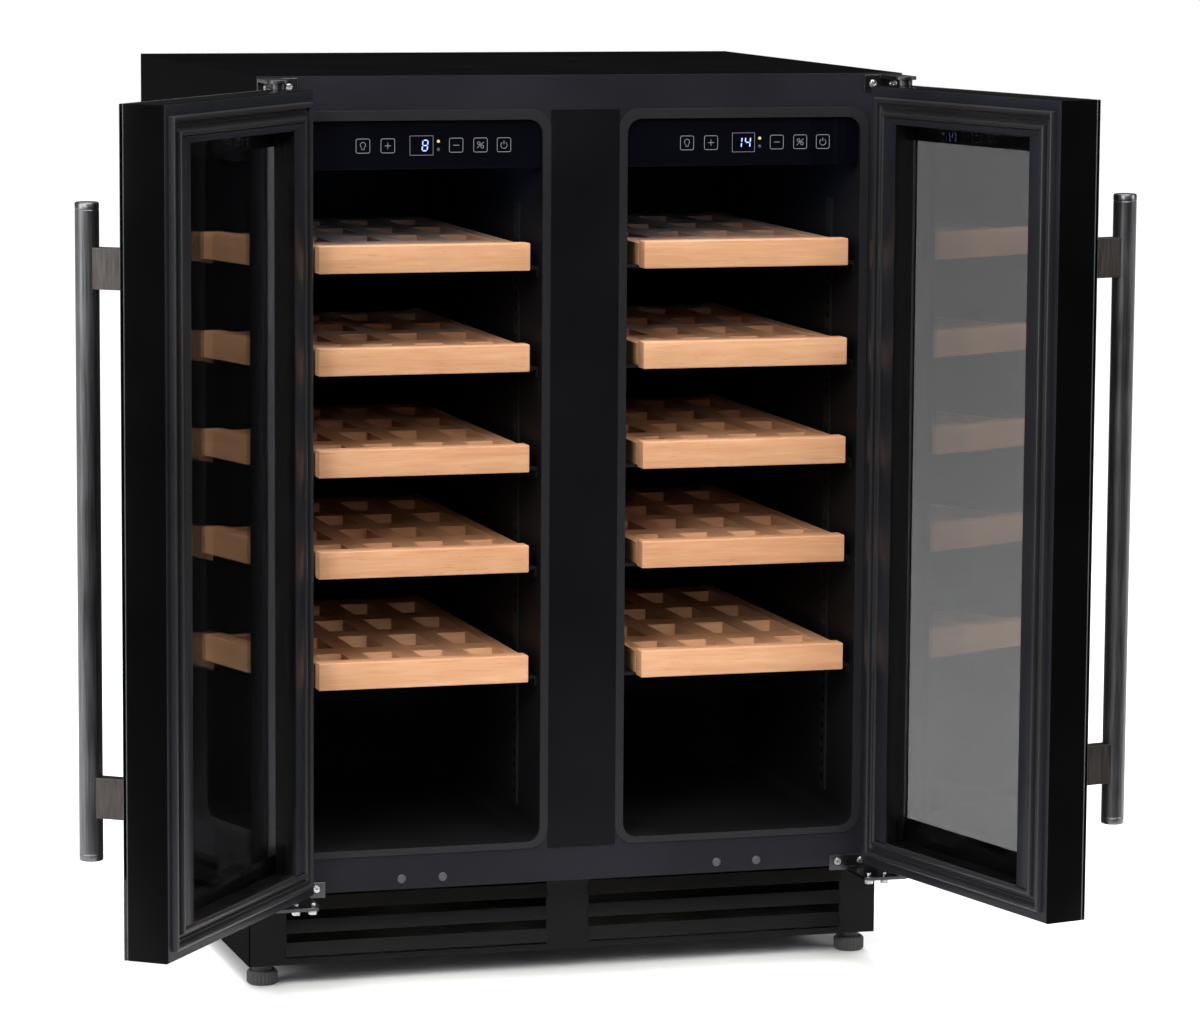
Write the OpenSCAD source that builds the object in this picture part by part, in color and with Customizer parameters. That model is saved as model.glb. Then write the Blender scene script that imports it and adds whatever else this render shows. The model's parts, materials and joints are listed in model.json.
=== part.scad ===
// Two-zone wine cooler with two glass doors, ten sliding beech shelves and screw feet.
// X runs to the viewer's right, Y runs back and Z runs up. The origin is the middle of the
// rear panel's lower edge, level with the base pan's underside. The doors rest open and the
// shelves rest pushed home.

/* [Cabinet] */
// Width across the side panels
cabinet_w = 595; // [560:1:700]
// Depth from the front frame's face to the rear panel's face
cabinet_d = 524; // [500:1:620]
// Height from the base pan's underside to the top panel
cabinet_h = 800; // [760:1:960]
// Thickness of the folded steel sheet
sheet_t = 1.2; // [0.8:0.1:2]
// Height of the toe space under the front frame
toe_h = 73.6; // [60:0.1:90]
// Distance that the kick grille stands back from the front frame
toe_d = 43; // [30:1:60]
// Distance from the middle of the kick grille to its louvres
louvre_inner = 20; // [12:1:40]
// Distance from the end of the kick grille to its louvres
louvre_outer = 34.5; // [30:0.5:50]
// Distance between two louvres
louvre_pitch = 21; // [18:0.5:22]
// Tilt of the louvres
louvre_tilt = 22; // [10:1:30]

/* [Compartments] */
// Width of each front opening
opening_w = 219.4; // [180:0.1:240]
// Width of the mullion between the two openings, lips included
mullion_w = 78.4; // [60:0.1:120]
// Height of the openings' lower edge
opening_z = 110.8; // [100:0.1:130]
// Distance from the openings' upper edge to the cabinet's top
top_rail_h = 39.2; // [30:0.1:60]
// Corner radius of the openings
opening_r = 13; // [6:1:20]
// Width of the liner's lip round each opening
lip_w = 7.6; // [4:0.1:12]
// Height of the lip under each opening
lip_low = 6; // [4:0.1:10]
// Height of the lip over each opening
lip_high = 8.9; // [5:0.1:12]
// How far the lip stands out from the front frame
lip_t = 1.2; // [0.8:0.1:2]
// Thickness of the liner's wall
liner_t = 2; // [1.5:0.1:3]
// Foam left behind the liner's rear wall
rear_foam_t = 43; // [25:1:60]
// Length of the compartment floor in front of the machine step
floor_d = 322; // [310:1:360]
// Height of the machine step's top
step_z = 248; // [230:1:250]
// Foam between the liner's step and the machine space
step_foam_t = 30; // [15:1:40]

/* [Doors] */
// Thickness of a door, outer glass included
door_t = 41; // [36:0.1:50]
// Gap between the front frame and a closed door
door_gap = 7.2; // [6:0.1:10]
// Height of the doors' lower edge
door_z = 82; // [80:0.1:90]
// Distance from the doors' upper edge to the cabinet's top
door_top_gap = 10; // [8:0.1:14]
// Gap between the two closed doors
door_between = 2.6; // [2:0.1:5]
// Thickness of each glass pane
glass_t = 4; // [3:0.5:6]
// Width of the door frame at the hinge side
hinge_stile_w = 45; // [42:0.1:47]
// Width of the door frame at the free side
free_stile_w = 34.2; // [30:0.1:38]
// Height of the door frame's upper rail
door_top_rail_h = 33; // [28:0.1:40]
// Height of the door frame's lower rail
door_bottom_rail_h = 27; // [24:0.1:40]
// Depth of the inner pane below the door's inner face
pane_recess = 17; // [8:0.5:20]
// Width of the step between the door's inner face and the window
frame_step_w = 5; // [2:0.5:8]
// Depth of that step
frame_step_d = 6; // [3:0.5:7]
// Width of the spacer bar between the panes
spacer_w = 10; // [6:1:14]
// Width of the gasket
gasket_w = 17; // [12:1:18]
// Width of each rib of the gasket
rib_w = 5; // [3:0.5:6]
// Thickness of the gasket's base strip
gasket_base_t = 2.4; // [1.5:0.1:4]
// Distance from a door's hinge edge to the gasket
gasket_inset = 12; // [11:0.5:14]
// Distance from a door's free edge to the gasket
gasket_free = 6.5; // [5:0.5:10]
// Distance from a door's upper and lower edges to the gasket
gasket_ends = 9.5; // [8:0.5:12]
// Running gap that the closed gasket keeps from what it faces
gasket_gap = 0.4; // [0.3:0.1:1]
// Opening angle at which the left door rests
left_open = 127; // [90:0.5:135]
// Opening angle at which the right door rests
right_open = 103.2; // [90:0.1:135]

/* [Hinges] */
// Distance from a door's hinge edge to the pivot
pivot_u = 10.5; // [9:0.1:12]
// Depth of the pivot below the door's inner face
pivot_v = 28.9; // [24:0.1:30]
// Diameter of the pivot pins
pin_d = 8; // [6:0.5:10]
// Radial running clearance of the pins
pin_clear = 0.08; // [0.05:0.01:0.1]
// Length of pin inside the door
pin_in = 12; // [8:0.5:16]
// Thickness of the hinge plates
hinge_t = 3; // [2:0.5:4]
// Thickness of the hinge flanges on the front frame
flange_t = 1.6; // [1:0.1:2]
// Width of the upper hinge's flange
top_flange_w = 36; // [30:1:50]
// Height of the upper hinge's flange
top_flange_h = 12; // [8:0.5:12]
// Width of the lower hinge's flange
bottom_flange_w = 60; // [40:1:70]
// Height of the lower hinge's flange
bottom_flange_h = 14; // [12:0.5:17]
// Gap between the door and the lower hinge's plate
bottom_hinge_gap = 9; // [5:0.5:9]
// Width of the lower hinge's plate
bottom_plate_w = 44; // [40:1:60]
// Reach of the lower hinge's plate in front of the frame
bottom_plate_d = 56; // [50:1:60]
// Distance between the two bolts in the lower hinge's plate
bolt_pitch = 15; // [12:0.5:18]
// Diameter of those bolts
bolt_d = 5; // [4:0.5:6]
// Radius of a hinge plate's rounded end
hinge_end_r = 10.5; // [9:0.5:11]

/* [Handles] */
// Diameter of the handle bar
bar_d = 20; // [14:0.5:24]
// Length of the handle bar
bar_h = 547; // [300:1:600]
// Height of the bar's lower end
bar_z = 162; // [120:1:250]
// Distance from the door's free edge to the bar's axis
bar_inset = 11; // [10.5:0.1:20]
// Distance from the door's outer face to the bar's axis
bar_reach = 34.6; // [25:0.1:50]
// Height of each handle post
post_h = 34; // [20:1:40]
// Width of each handle post
post_w = 13; // [8:0.5:16]
// Distance from each bar end to its post's middle
post_inset = 54; // [30:1:90]

/* [Shelves] */
// Shelves in each compartment
shelf_count = 5; // [5:1:5]
// Distance from the openings' upper edge down to the top shelf
shelf_drop = 108.8; // [90:0.1:120]
// Distance between one shelf and the next
shelf_pitch = 90; // [80:0.5:100]
// Distance between the lowest two shelves
low_pitch = 99.5; // [90:0.5:101]
// Gap between a shelf and the compartment's wall, at each side
shelf_gap = 13.55; // [10:0.05:20]
// Depth of a shelf
shelf_d = 400; // [340:1:410]
// How far a shelf's front board stands out of the cabinet when home
shelf_out = 10; // [0:0.5:12]
// Height of the front board
board_h = 24.4; // [20:0.1:30]
// Thickness of the front board
board_t = 18; // [14:0.5:22]
// Width of each side rail
rail_w = 12; // [9:0.5:14]
// Height of each side rail
rail_h = 19.4; // [14:0.1:20]
// Width of each lengthwise slat
slat_w = 19; // [14:0.5:24]
// Width of each cross slat
cross_w = 32; // [20:1:40]
// Thickness of the slats
slat_t = 12; // [8:0.5:14]
// Depth of the slats below the front board's upper edge
slat_drop = 5; // [3:0.5:8]
// Radius of the two bottle cradles
cradle_r = 62; // [45:1:80]
// Depth of the bottle cradles
cradle_deep = 0.8; // [0.5:0.1:3]
// Glue line between the front board and the rack
glue_gap = 0.05; // [0.05:0.01:0.2]
// Length of the runners under the side rails
runner_d = 385; // [300:1:400]
// Thickness of the runners
runner_t = 2.5; // [1.5:0.5:3]
// How far a runner reaches under a side rail
runner_under = 8; // [5:0.5:10]
// Running gap between a shelf and its runners
runner_gap = 0.3; // [0.2:0.1:1]
// Width of the upright strips that carry the runners
strip_w = 16; // [10:1:24]
// Distance from a runner's front end to the front strips, and from the duct to the rear ones
strip_inset = 60; // [30:1:80]
// Thickness of the upright strips
strip_t = 1.6; // [1:0.1:3]

/* [Controls and light] */
// Height of the control panel
panel_h = 43; // [30:0.5:60]
// Depth of the control panel's housing
panel_d = 24; // [15:1:40]
// Distance that the control panel stands back inside the opening
panel_back = 4; // [1:0.5:10]
// Distance from the control panel back to the light lens
lens_gap = 12; // [6:1:30]
// Length of the light lens
lens_w = 120; // [60:1:160]
// Width of the light lens
lens_d = 20; // [12:1:30]
// Thickness of the light lens
lens_t = 6; // [4:0.5:10]

/* [Cooling] */
// Depth of the air duct in front of the liner's rear wall
duct_d = 50; // [45:1:60]
// Thickness of the duct cover
duct_t = 2; // [1.5:0.5:4]
// Diameter of each cooling fan
fan_d = 92; // [60:1:100]
// Height of each cooling fan's axis
fan_z = 600; // [420:1:640]
// Diameter of the condenser fan
big_fan_d = 110; // [80:1:130]
// Diameter of a fan's hub
hub_d = 30; // [20:1:36]
// Depth of a fan's hub
hub_h = 12; // [8:1:16]
// Diameter of a fan motor's shaft
shaft_d = 4; // [3:0.5:6]
// Blades on each fan
blade_count = 7; // [5:1:9]
// Diameter of the compressor's shell
compressor_d = 128; // [100:1:150]
// Height of the compressor's shell above its rubber feet
compressor_h = 150; // [110:1:160]
// Fins on the condenser
fin_count = 14; // [8:1:24]
// Distance between the condenser's fins
fin_pitch = 11; // [8:1:14]

/* [Feet] */
// Height of the feet below the base pan
foot_h = 20; // [15:1:30]
// Diameter of each foot
foot_d = 28.4; // [24:0.1:34]
// Diameter of each foot's stud
stud_d = 10; // [8:1:12]
// Length of stud above the base pan
stud_up = 52; // [30:1:55]
// Distance from the side of the cabinet to each foot's axis
foot_inset = 17; // [16:0.5:30]
// Distance from the kick grille to the front feet's axis
front_foot_back = 22; // [18:1:60]
// Distance from the rear panel to the rear feet's axis
rear_foot_front = 40; // [20:1:80]
// Thickness of the base pan
pan_t = 1.5; // [1:0.1:3]

/* [Hidden] */
$fn = 48;
eps = 0.5;
fit = 0.3;
half_w = cabinet_w / 2;
rear_y = 0;
front_y = rear_y - cabinet_d;
frame_back_y = front_y + sheet_t;
opening_h = cabinet_h - top_rail_h - opening_z;
opening_x = mullion_w / 2 + opening_w / 2;
opening_top = opening_z + opening_h;
top_shelf_z = opening_top - shelf_drop;
liner_rear_y = rear_y - sheet_t - rear_foam_t - liner_t;
step_y = front_y + floor_d;
machine_y = step_y + liner_t + step_foam_t;
machine_top = step_z - liner_t - step_foam_t;
foam_bottom = toe_h - 5;
kick_y = front_y + toe_d;
kick_t = 3;
foot_x = half_w - foot_inset;
front_foot_y = kick_y + front_foot_back;
rear_foot_y = rear_y - rear_foot_front;
door_w = (cabinet_w - door_between) / 2;
door_h = cabinet_h - door_top_gap - door_z;
door_top = door_z + door_h;
pivot_x = half_w - pivot_u;
pivot_y = front_y - door_gap - pivot_v;
frame_v = door_t - glass_t;
window_z = door_z + door_bottom_rail_h;
window_h = door_h - door_bottom_rail_h - door_top_rail_h;
window_w = door_w - hinge_stile_w - free_stile_w;
gasket_v = door_gap - lip_t - gasket_gap;
gasket_z = door_z + gasket_ends;
gasket_top = door_top - gasket_ends;
bar_u = door_w - bar_inset;
bar_v = door_t + bar_reach;
shelf_w = opening_w - 2 * shelf_gap;
shelf_y = front_y - shelf_out;
slot_w = (shelf_w - 2 * rail_w - 3 * slat_w) / 4;
rack_d = shelf_d - board_t - glue_gap;
slot_d = (rack_d - 4 * cross_w) / 4;
runner_y = shelf_y + board_t + 4;
duct_y = liner_rear_y - duct_d;
top_plate_z = cabinet_h - 1.5 - hinge_t;
bottom_plate_z = door_z - bottom_hinge_gap - hinge_t;
fan_y = duct_y + duct_t + 8;
condenser_x = -half_w + 40;
condenser_y = machine_y + 25;
condenser_d = 110;
condenser_z = 12;
condenser_h = 130;
bracket_x = condenser_x + (fin_count - 1) * fin_pitch + 18;
big_fan_x = bracket_x + 12;
big_fan_y = condenser_y + condenser_d / 2;
big_fan_z = condenser_z + condenser_h / 2;
compressor_x = big_fan_x + big_fan_d / 2 + 75;
compressor_y = machine_y + compressor_d / 2 + 14;
inlet_x = half_w - 82;
inlet_w = 30;
inlet_z = 36;
inlet_h = 24;
plug_xs = [-167, -129, 129, 167];
plug_z = toe_h + 9.4;
plug_d = 8;
screw_d = 4;
head_d = 7.6;
head_t = 1.6;
bolt_head_d = 8;
bolt_head_t = 4;
bolt_x = half_w - bottom_plate_w + 6 + bolt_pitch / 2;
bolt_y = front_y - bottom_plate_d + 8;

// Everything is drawn for the left side and mirrored for the right.
module on_side(side) {
  mirror([side > 0 ? 1 : 0, 0, 0])
    children();
}

module box(low, high) {
  translate(low)
    cube(high - low);
}

// A rounded rectangle in X and Z that runs back from y by the given depth.
module rounded_prism(x0, x1, z0, z1, r, y, depth) {
  translate([0, y + depth, 0])
    rotate([90, 0, 0])
      linear_extrude(height = depth)
        rounded_rectangle(x0, x1, z0, z1, r);
}

module rounded_rectangle(x0, x1, z0, z1, r) {
  translate([x0 + r, z0])
    square([x1 - x0 - 2 * r, z1 - z0]);
  translate([x0, z0 + r])
    square([x1 - x0, z1 - z0 - 2 * r]);
  for (x = [x0 + r, x1 - r])
    for (z = [z0 + r, z1 - r])
      translate([x, z])
        circle(r = r);
}

// Cabinet shell

module side_panel(side) {
  color([0.03, 0.03, 0.035])
    on_side(side)
      difference() {
        box([-half_w, frame_back_y, 0], [-half_w + sheet_t, rear_y, cabinet_h]);
        box([-half_w - eps, frame_back_y - eps, -eps],
          [-half_w + sheet_t + eps, kick_y, toe_h]);
      }
}

module top_panel() {
  color([0.03, 0.03, 0.035])
    box([-half_w + sheet_t, frame_back_y, cabinet_h - sheet_t],
      [half_w - sheet_t, rear_y - sheet_t, cabinet_h]);
}

// The rear panel has an air grille at the machine space and a cut-out for the power inlet.
module rear_panel() {
  slot_h = 5;
  slot_pitch = 18;
  slot_z = 40;
  slot_half = 55;
  column_pitch = 150;
  outer = rear_y + eps;
  inner = rear_y - sheet_t - eps;
  color([0.05, 0.05, 0.055])
    difference() {
      box([-half_w + sheet_t, rear_y - sheet_t, 0], [half_w - sheet_t, rear_y, cabinet_h]);
      for (column = [-1, 0, 1])
        for (row = [0:7])
          box([column * column_pitch - slot_half, inner, slot_z + row * slot_pitch],
            [column * column_pitch + slot_half, outer, slot_z + row * slot_pitch + slot_h]);
      box([inlet_x, inner, inlet_z], [inlet_x + inlet_w, outer, inlet_z + inlet_h]);
    }
}

// A flat tray with turned-up edges and a welded nut for each foot.
module base_pan() {
  edge_x = half_w - sheet_t - fit;
  edge_h = 14;
  nut_h = 10;
  nut_d = stud_d + 10;
  color([0.1, 0.1, 0.105])
    difference() {
      union() {
        box([-edge_x, kick_y + kick_t, 0], [edge_x, rear_y - sheet_t - fit, pan_t]);
        for (side = [-1, 1])
          on_side(side)
            box([-edge_x, kick_y + kick_t, 0],
              [-edge_x + pan_t, rear_y - sheet_t - fit, edge_h]);
        for (x = [-foot_x, foot_x])
          for (y = [front_foot_y, rear_foot_y])
            translate([x, y, 0])
              cylinder(d = nut_d, h = nut_h, $fn = 6);
      }
      for (x = [-foot_x, foot_x])
        for (y = [front_foot_y, rear_foot_y])
          translate([x, y, -eps])
            cylinder(r = stud_d / 2 + pin_clear, h = nut_h + 2 * eps);
    }
}

module front_frame() {
  color([0.13, 0.135, 0.155])
    difference() {
      box([-half_w, front_y, toe_h], [half_w, frame_back_y, cabinet_h]);
      for (side = [-1, 1])
        on_side(side)
          liner_form(liner_t + fit);
      for (side = [-1, 1])
        on_side(side)
          hinge_screw_places()
            cylinder(d = screw_d + 2 * fit, h = 20, center = true);
      for (x = plug_xs)
        translate([x, front_y, plug_z])
          rotate([90, 0, 0])
            cylinder(d = plug_d / 2 + 2 * fit, h = 10, center = true);
    }
}

module mullion_cover() {
  edge = mullion_w / 2 - lip_w - 0.2;
  color([0.08, 0.08, 0.088])
    box([-edge, front_y - lip_t, opening_z - lip_low], [edge, front_y, opening_top + lip_high]);
}

// The space inside a left liner, grown outwards, less its machine step.
module liner_form(grow) {
  difference() {
    rounded_prism(-opening_x - opening_w / 2 - grow, -opening_x + opening_w / 2 + grow,
      opening_z - grow, opening_top + grow, opening_r + grow, front_y - 10,
      liner_rear_y - front_y + 10 + grow);
    box([-half_w, step_y + grow, 0], [0, rear_y, step_z - grow]);
  }
}

module insulation() {
  edge_x = half_w - sheet_t;
  color([0.85, 0.8, 0.6])
    difference() {
      box([-edge_x, frame_back_y, foam_bottom],
        [edge_x, rear_y - sheet_t, cabinet_h - sheet_t]);
      box([-half_w, machine_y, 0], [half_w, rear_y, machine_top]);
      box([-half_w, frame_back_y - eps, 0], [half_w, kick_y + kick_t, toe_h]);
      for (side = [-1, 1])
        on_side(side)
          liner_form(liner_t);
    }
}

module liner(side) {
  x0 = -opening_x - opening_w / 2;
  x1 = -opening_x + opening_w / 2;
  color([0.11, 0.11, 0.118])
    on_side(side)
      difference() {
        union() {
          intersection() {
            liner_form(liner_t);
            box([-half_w, front_y, 0], [0, rear_y, cabinet_h]);
          }
          rounded_prism(x0 - lip_w, x1 + lip_w, opening_z - lip_low, opening_top + lip_high,
            opening_r + 5, front_y - lip_t, lip_t);
        }
        liner_form(0);
      }
}

// A plastic kick panel with two groups of slanting louvres.
module kick_grille() {
  edge_x = half_w - sheet_t - fit;
  window_x = [louvre_inner, half_w - louvre_outer];
  window_z = [6, toe_h - 7.6];
  louvre_h = 12.5;
  louvre_t = 1.6;
  color([0.075, 0.075, 0.082])
    union() {
      difference() {
        box([-edge_x, kick_y, 0], [edge_x, kick_y + kick_t, toe_h - fit]);
        for (side = [-1, 1])
          on_side(side)
            box([-window_x[1], kick_y - eps, window_z[0]],
              [-window_x[0], kick_y + kick_t + eps, window_z[1]]);
      }
      for (side = [-1, 1])
        on_side(side)
          for (row = [0:2])
            translate([-window_x[1] - 1, kick_y + kick_t, window_z[0] + 13 + row * louvre_pitch])
              rotate([-louvre_tilt, 0, 0])
                translate([0, -louvre_t - 0.4, 0.5 - louvre_h])
                  cube([window_x[1] - window_x[0] + 2, louvre_t, louvre_h]);
    }
}

// Controls and light

module control_panel(side) {
  color([0.02, 0.022, 0.035])
    on_side(side)
      intersection() {
        rounded_prism(-opening_x - opening_w / 2 + fit, -opening_x + opening_w / 2 - fit,
          opening_z + fit, opening_top - fit, opening_r - fit, front_y, 100);
        box([-half_w, front_y + panel_back, opening_top - panel_h],
          [0, front_y + panel_back + panel_d, opening_top]);
      }
}

module light_lenses() {
  lens_y = front_y + panel_back + panel_d + lens_gap;
  color([0.85, 0.92, 1])
    for (side = [-1, 1])
      on_side(side)
        box([-opening_x - lens_w / 2, lens_y, opening_top - lens_t],
          [-opening_x + lens_w / 2, lens_y + lens_d, opening_top]);
}

// Shelves and their runners

function shelf_z(level) =
  top_shelf_z - (level - 1) * shelf_pitch - (level == 5 ? low_pitch - shelf_pitch : 0);

// A ledge and its wall flange for one side rail, on two upright strips.
module runner_set() {
  wall_x = -opening_x - opening_w / 2;
  strip_low = opening_z + 20;
  strip_high = top_shelf_z + 30;
  for (y = [runner_y + strip_inset, duct_y - strip_inset])
    box([wall_x, y, y > step_y ? step_z + 4 : strip_low],
      [wall_x + strip_t, y + strip_w, strip_high]);
  for (level = [1:shelf_count]) {
    top = shelf_z(level) - slat_drop + 2 - rail_h - runner_gap;
    box([wall_x, runner_y, top - 9], [wall_x + strip_t, runner_y + runner_d, top]);
    box([wall_x, runner_y, top - runner_t],
      [wall_x + shelf_gap + runner_under, runner_y + runner_d, top]);
  }
}

module runners(side) {
  color([0.12, 0.12, 0.125])
    on_side(side) {
      runner_set();
      translate([-2 * opening_x, 0, 0])
        mirror([1, 0, 0])
          runner_set();
    }
}

module shelf(side, level) {
  color([0.85, 0.64, 0.45])
    on_side(side)
      translate([-opening_x, shelf_y, shelf_z(level)]) {
        box([-shelf_w / 2, 0, -board_h], [shelf_w / 2, board_t, 0]);
        shelf_rack();
      }
}

// Two side rails, three lengthwise slats and four cross slats, cradled for two bottles.
module shelf_rack() {
  back_y = board_t + glue_gap;
  rail_top = 2 - slat_drop;
  difference() {
    union() {
      for (end = [0, 1])
        mirror([end, 0, 0])
          box([-shelf_w / 2, back_y, rail_top - rail_h],
            [-shelf_w / 2 + rail_w, shelf_d, rail_top]);
      for (slat = [-1, 0, 1])
        translate([slat * (slot_w + slat_w) - slat_w / 2, back_y, -slat_drop - slat_t])
          cube([slat_w, rack_d, slat_t]);
      for (row = [1:4])
        translate([-shelf_w / 2 + eps, back_y + row * slot_d + (row - 1) * cross_w,
          -slat_drop - slat_t])
          cube([shelf_w - 2 * eps, cross_w, slat_t]);
    }
    for (x = [-1, 1])
      translate([x * (slot_w + slat_w), back_y - eps, cradle_r - slat_drop - cradle_deep])
        rotate([-90, 0, 0])
          cylinder(r = cradle_r, h = rack_d + 2 * eps);
  }
}

// Cooling

// A fan that turns on its own Z axis, with a bored hub.
module fan(diameter) {
  difference() {
    union() {
      cylinder(d = hub_d, h = hub_h);
      for (i = [0:blade_count - 1])
        rotate([0, 0, i * 360 / blade_count])
          translate([hub_d / 2 - 1, 0, hub_h / 2])
            rotate([32, 0, 0])
              translate([0, -(diameter - hub_d) / 7, -0.6])
                cube([(diameter - hub_d) / 2 - 1, (diameter - hub_d) / 3.5, 1.2]);
    }
    translate([0, 0, -eps])
      cylinder(r = shaft_d / 2 + pin_clear, h = hub_h - 2);
  }
}

// A fan motor's can and shaft on its own Z axis, with three arms.
module fan_motor(arm_end, arm_t) {
  can_h = 10;
  translate([0, 0, -can_h - 1])
    cylinder(d = hub_d - 4, h = can_h);
  translate([0, 0, -2])
    cylinder(d = shaft_d, h = hub_h - 2);
  for (i = [0:2])
    rotate([0, 0, 90 + i * 120])
      translate([hub_d / 2 - 6, -3, -can_h + 3 - arm_t])
        cube([arm_end - hub_d / 2 + 6, 6, arm_t]);
}

module at_cooling_fan() {
  translate([-opening_x, fan_y, fan_z])
    rotate([90, 0, 0])
      children();
}

// One slot of the round grille in front of a cooling fan, at height z from its axis.
module fan_slot(z, height) {
  half_length = sqrt(pow(fan_d / 2, 2) - z * z) - 2;
  box([-opening_x - half_length, duct_y - eps, fan_z + z - height / 2],
    [-opening_x + half_length, duct_y + duct_t + eps, fan_z + z + height / 2]);
}

module duct_cover(side) {
  x0 = -opening_x - opening_w / 2 + fit;
  x1 = -opening_x + opening_w / 2 - fit;
  low = step_z + fit;
  high = opening_top - fit;
  color([0.1, 0.1, 0.108])
    on_side(side)
      difference() {
        union() {
          rounded_prism(x0, x1, low, high, opening_r - fit, duct_y, duct_t);
          box([x0, duct_y, low], [x1, duct_y + duct_t, low + 40]);
          for (x = [x0, x1 - 2])
            box([x, duct_y, low], [x + 2, liner_rear_y - fit, high - opening_r]);
          at_cooling_fan()
            translate([0, 0, -6])
              fan_motor(fan_d / 2 + 9, 4);
          at_cooling_fan()
            for (i = [0:2])
              rotate([0, 0, 90 + i * 120])
                translate([fan_d / 2 + 4, -2, -16])
                  cube([4, 4, 25]);
        }
        for (row = [-3:3])
          fan_slot(row * fan_d / 7.4, fan_d / 11);
        for (row = [0:5])
          box([-opening_x - 60, duct_y - eps, low + 20 + row * 12],
            [-opening_x + 60, duct_y + duct_t + eps, low + 25 + row * 12]);
      }
}

// A finned block on the liner's rear wall, with tubes through its fins.
module evaporator(side) {
  low = 330;
  high = 500;
  depth = 26;
  count = 13;
  pitch = 12.4;
  fin_t = 1;
  tube_d = 8;
  tube_out = 8;
  half = (count - 1) * pitch / 2;
  y0 = liner_rear_y - depth - 2;
  color([0.7, 0.71, 0.72])
    on_side(side)
      union() {
        for (i = [0:count - 1])
          box([-opening_x - half + i * pitch, y0, low],
            [-opening_x - half + i * pitch + fin_t, y0 + depth, high]);
        for (z = [low + 25:40:high - 20])
          translate([-opening_x - half - tube_out, y0 + depth / 2, z])
            rotate([0, 90, 0])
              cylinder(d = tube_d, h = 2 * (half + tube_out));
      }
}

module cooling_fan(side) {
  color([0.15, 0.15, 0.16])
    on_side(side)
      at_cooling_fan()
        translate([0, 0, -6])
          fan(fan_d);
}

// A welded shell with a domed lid and a relay box, on a foot plate with four rubber feet.
module compressor() {
  plate_t = 3;
  plate_half = [85, 45];
  grommet_h = 14;
  grommet_d = 16;
  grommet_at = [74, 35];
  shell_t = 14;
  relay = [22, 44, 55];
  dome_h = compressor_d / 4;
  base_z = pan_t + grommet_h;
  shell_z = base_z + plate_t;
  shell_h = compressor_h - dome_h;
  color([0.05, 0.05, 0.055])
    translate([compressor_x, compressor_y, 0])
      union() {
        translate([0, 0, shell_z])
          difference() {
            cylinder(d = compressor_d, h = shell_h);
            translate([0, 0, shell_t - 2])
              cylinder(d = compressor_d - 2 * shell_t, h = shell_h - 2 * shell_t + 4);
          }
        translate([0, 0, shell_z + shell_h])
          cylinder(d1 = compressor_d, d2 = compressor_d * 0.55, h = dome_h);
        box([-plate_half[0], -plate_half[1], base_z],
          [plate_half[0], plate_half[1], shell_z]);
        for (x = [-grommet_at[0], grommet_at[0]])
          for (y = [-grommet_at[1], grommet_at[1]])
            translate([x, y, pan_t])
              cylinder(d = grommet_d, h = grommet_h + plate_t);
        translate([compressor_d / 2 - 4, -relay[1] / 2, base_z + 50])
          cube(relay);
      }
}

module condenser() {
  color([0.2, 0.2, 0.21])
    union() {
      for (i = [0:fin_count - 1])
        box([condenser_x + i * fin_pitch, condenser_y, condenser_z],
          [condenser_x + i * fin_pitch + 1, condenser_y + condenser_d,
            condenser_z + condenser_h]);
      for (y = [condenser_y + 25, condenser_y + condenser_d - 25])
        for (z = [condenser_z + 20:30:condenser_z + condenser_h - 10])
          translate([condenser_x - 10, y, z])
            rotate([0, 90, 0])
              cylinder(d = 6, h = (fin_count - 1) * fin_pitch + 20);
      for (x = [condenser_x, condenser_x + (fin_count - 1) * fin_pitch - 7])
        box([x, condenser_y, pan_t], [x + 8, condenser_y + condenser_d, condenser_z + 2]);
    }
}

module at_condenser_fan() {
  translate([big_fan_x, big_fan_y, big_fan_z])
    rotate([0, 90, 0])
      children();
}

module fan_bracket() {
  plate_h = condenser_z + condenser_h - pan_t;
  color([0.3, 0.3, 0.32])
    union() {
      difference() {
        box([bracket_x - 2, condenser_y - 5, pan_t],
          [bracket_x, condenser_y + condenser_d + 5, pan_t + plate_h]);
        translate([bracket_x - 2 - eps, big_fan_y, big_fan_z])
          rotate([0, 90, 0])
            cylinder(d = big_fan_d - 6, h = 2 + 2 * eps);
      }
      box([bracket_x - 2, condenser_y - 5, pan_t],
        [bracket_x + 20, condenser_y + condenser_d + 5, pan_t + 2]);
      at_condenser_fan()
        fan_motor(big_fan_d / 2 + 3, 6);
    }
}

module condenser_fan() {
  color([0.15, 0.15, 0.16])
    at_condenser_fan()
      fan(big_fan_d - 12);
}

// The tray over the compressor that melt water dries from.
module drip_tray() {
  half = [70, 50];
  wall = 2;
  tray_h = 22;
  color([0.25, 0.25, 0.26])
    translate([compressor_x, compressor_y, pan_t + 17 + compressor_h])
      difference() {
        box([-half[0], -half[1], 0], [half[0], half[1], tray_h]);
        box([wall - half[0], wall - half[1], wall],
          [half[0] - wall, half[1] - wall, tray_h + eps]);
      }
}

// The power board's box, whose inlet faces the rear panel's cut-out.
module power_box() {
  x0 = inlet_x + 1;
  x1 = inlet_x + inlet_w - 1;
  z0 = inlet_z + 1;
  z1 = inlet_z + inlet_h - 1;
  color([0.35, 0.35, 0.36])
    union() {
      box([x0 - 13, rear_y - sheet_t - 75, pan_t], [x1 + 11, rear_y - sheet_t - 12, 95]);
      difference() {
        box([x0, rear_y - sheet_t - 14, z0], [x1, rear_y - fit, z1]);
        box([x0 + 3, rear_y - 12, z0 + 3], [x1 - 3, rear_y + eps, z1 - 3]);
      }
    }
}

// Hinges and fasteners

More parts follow.
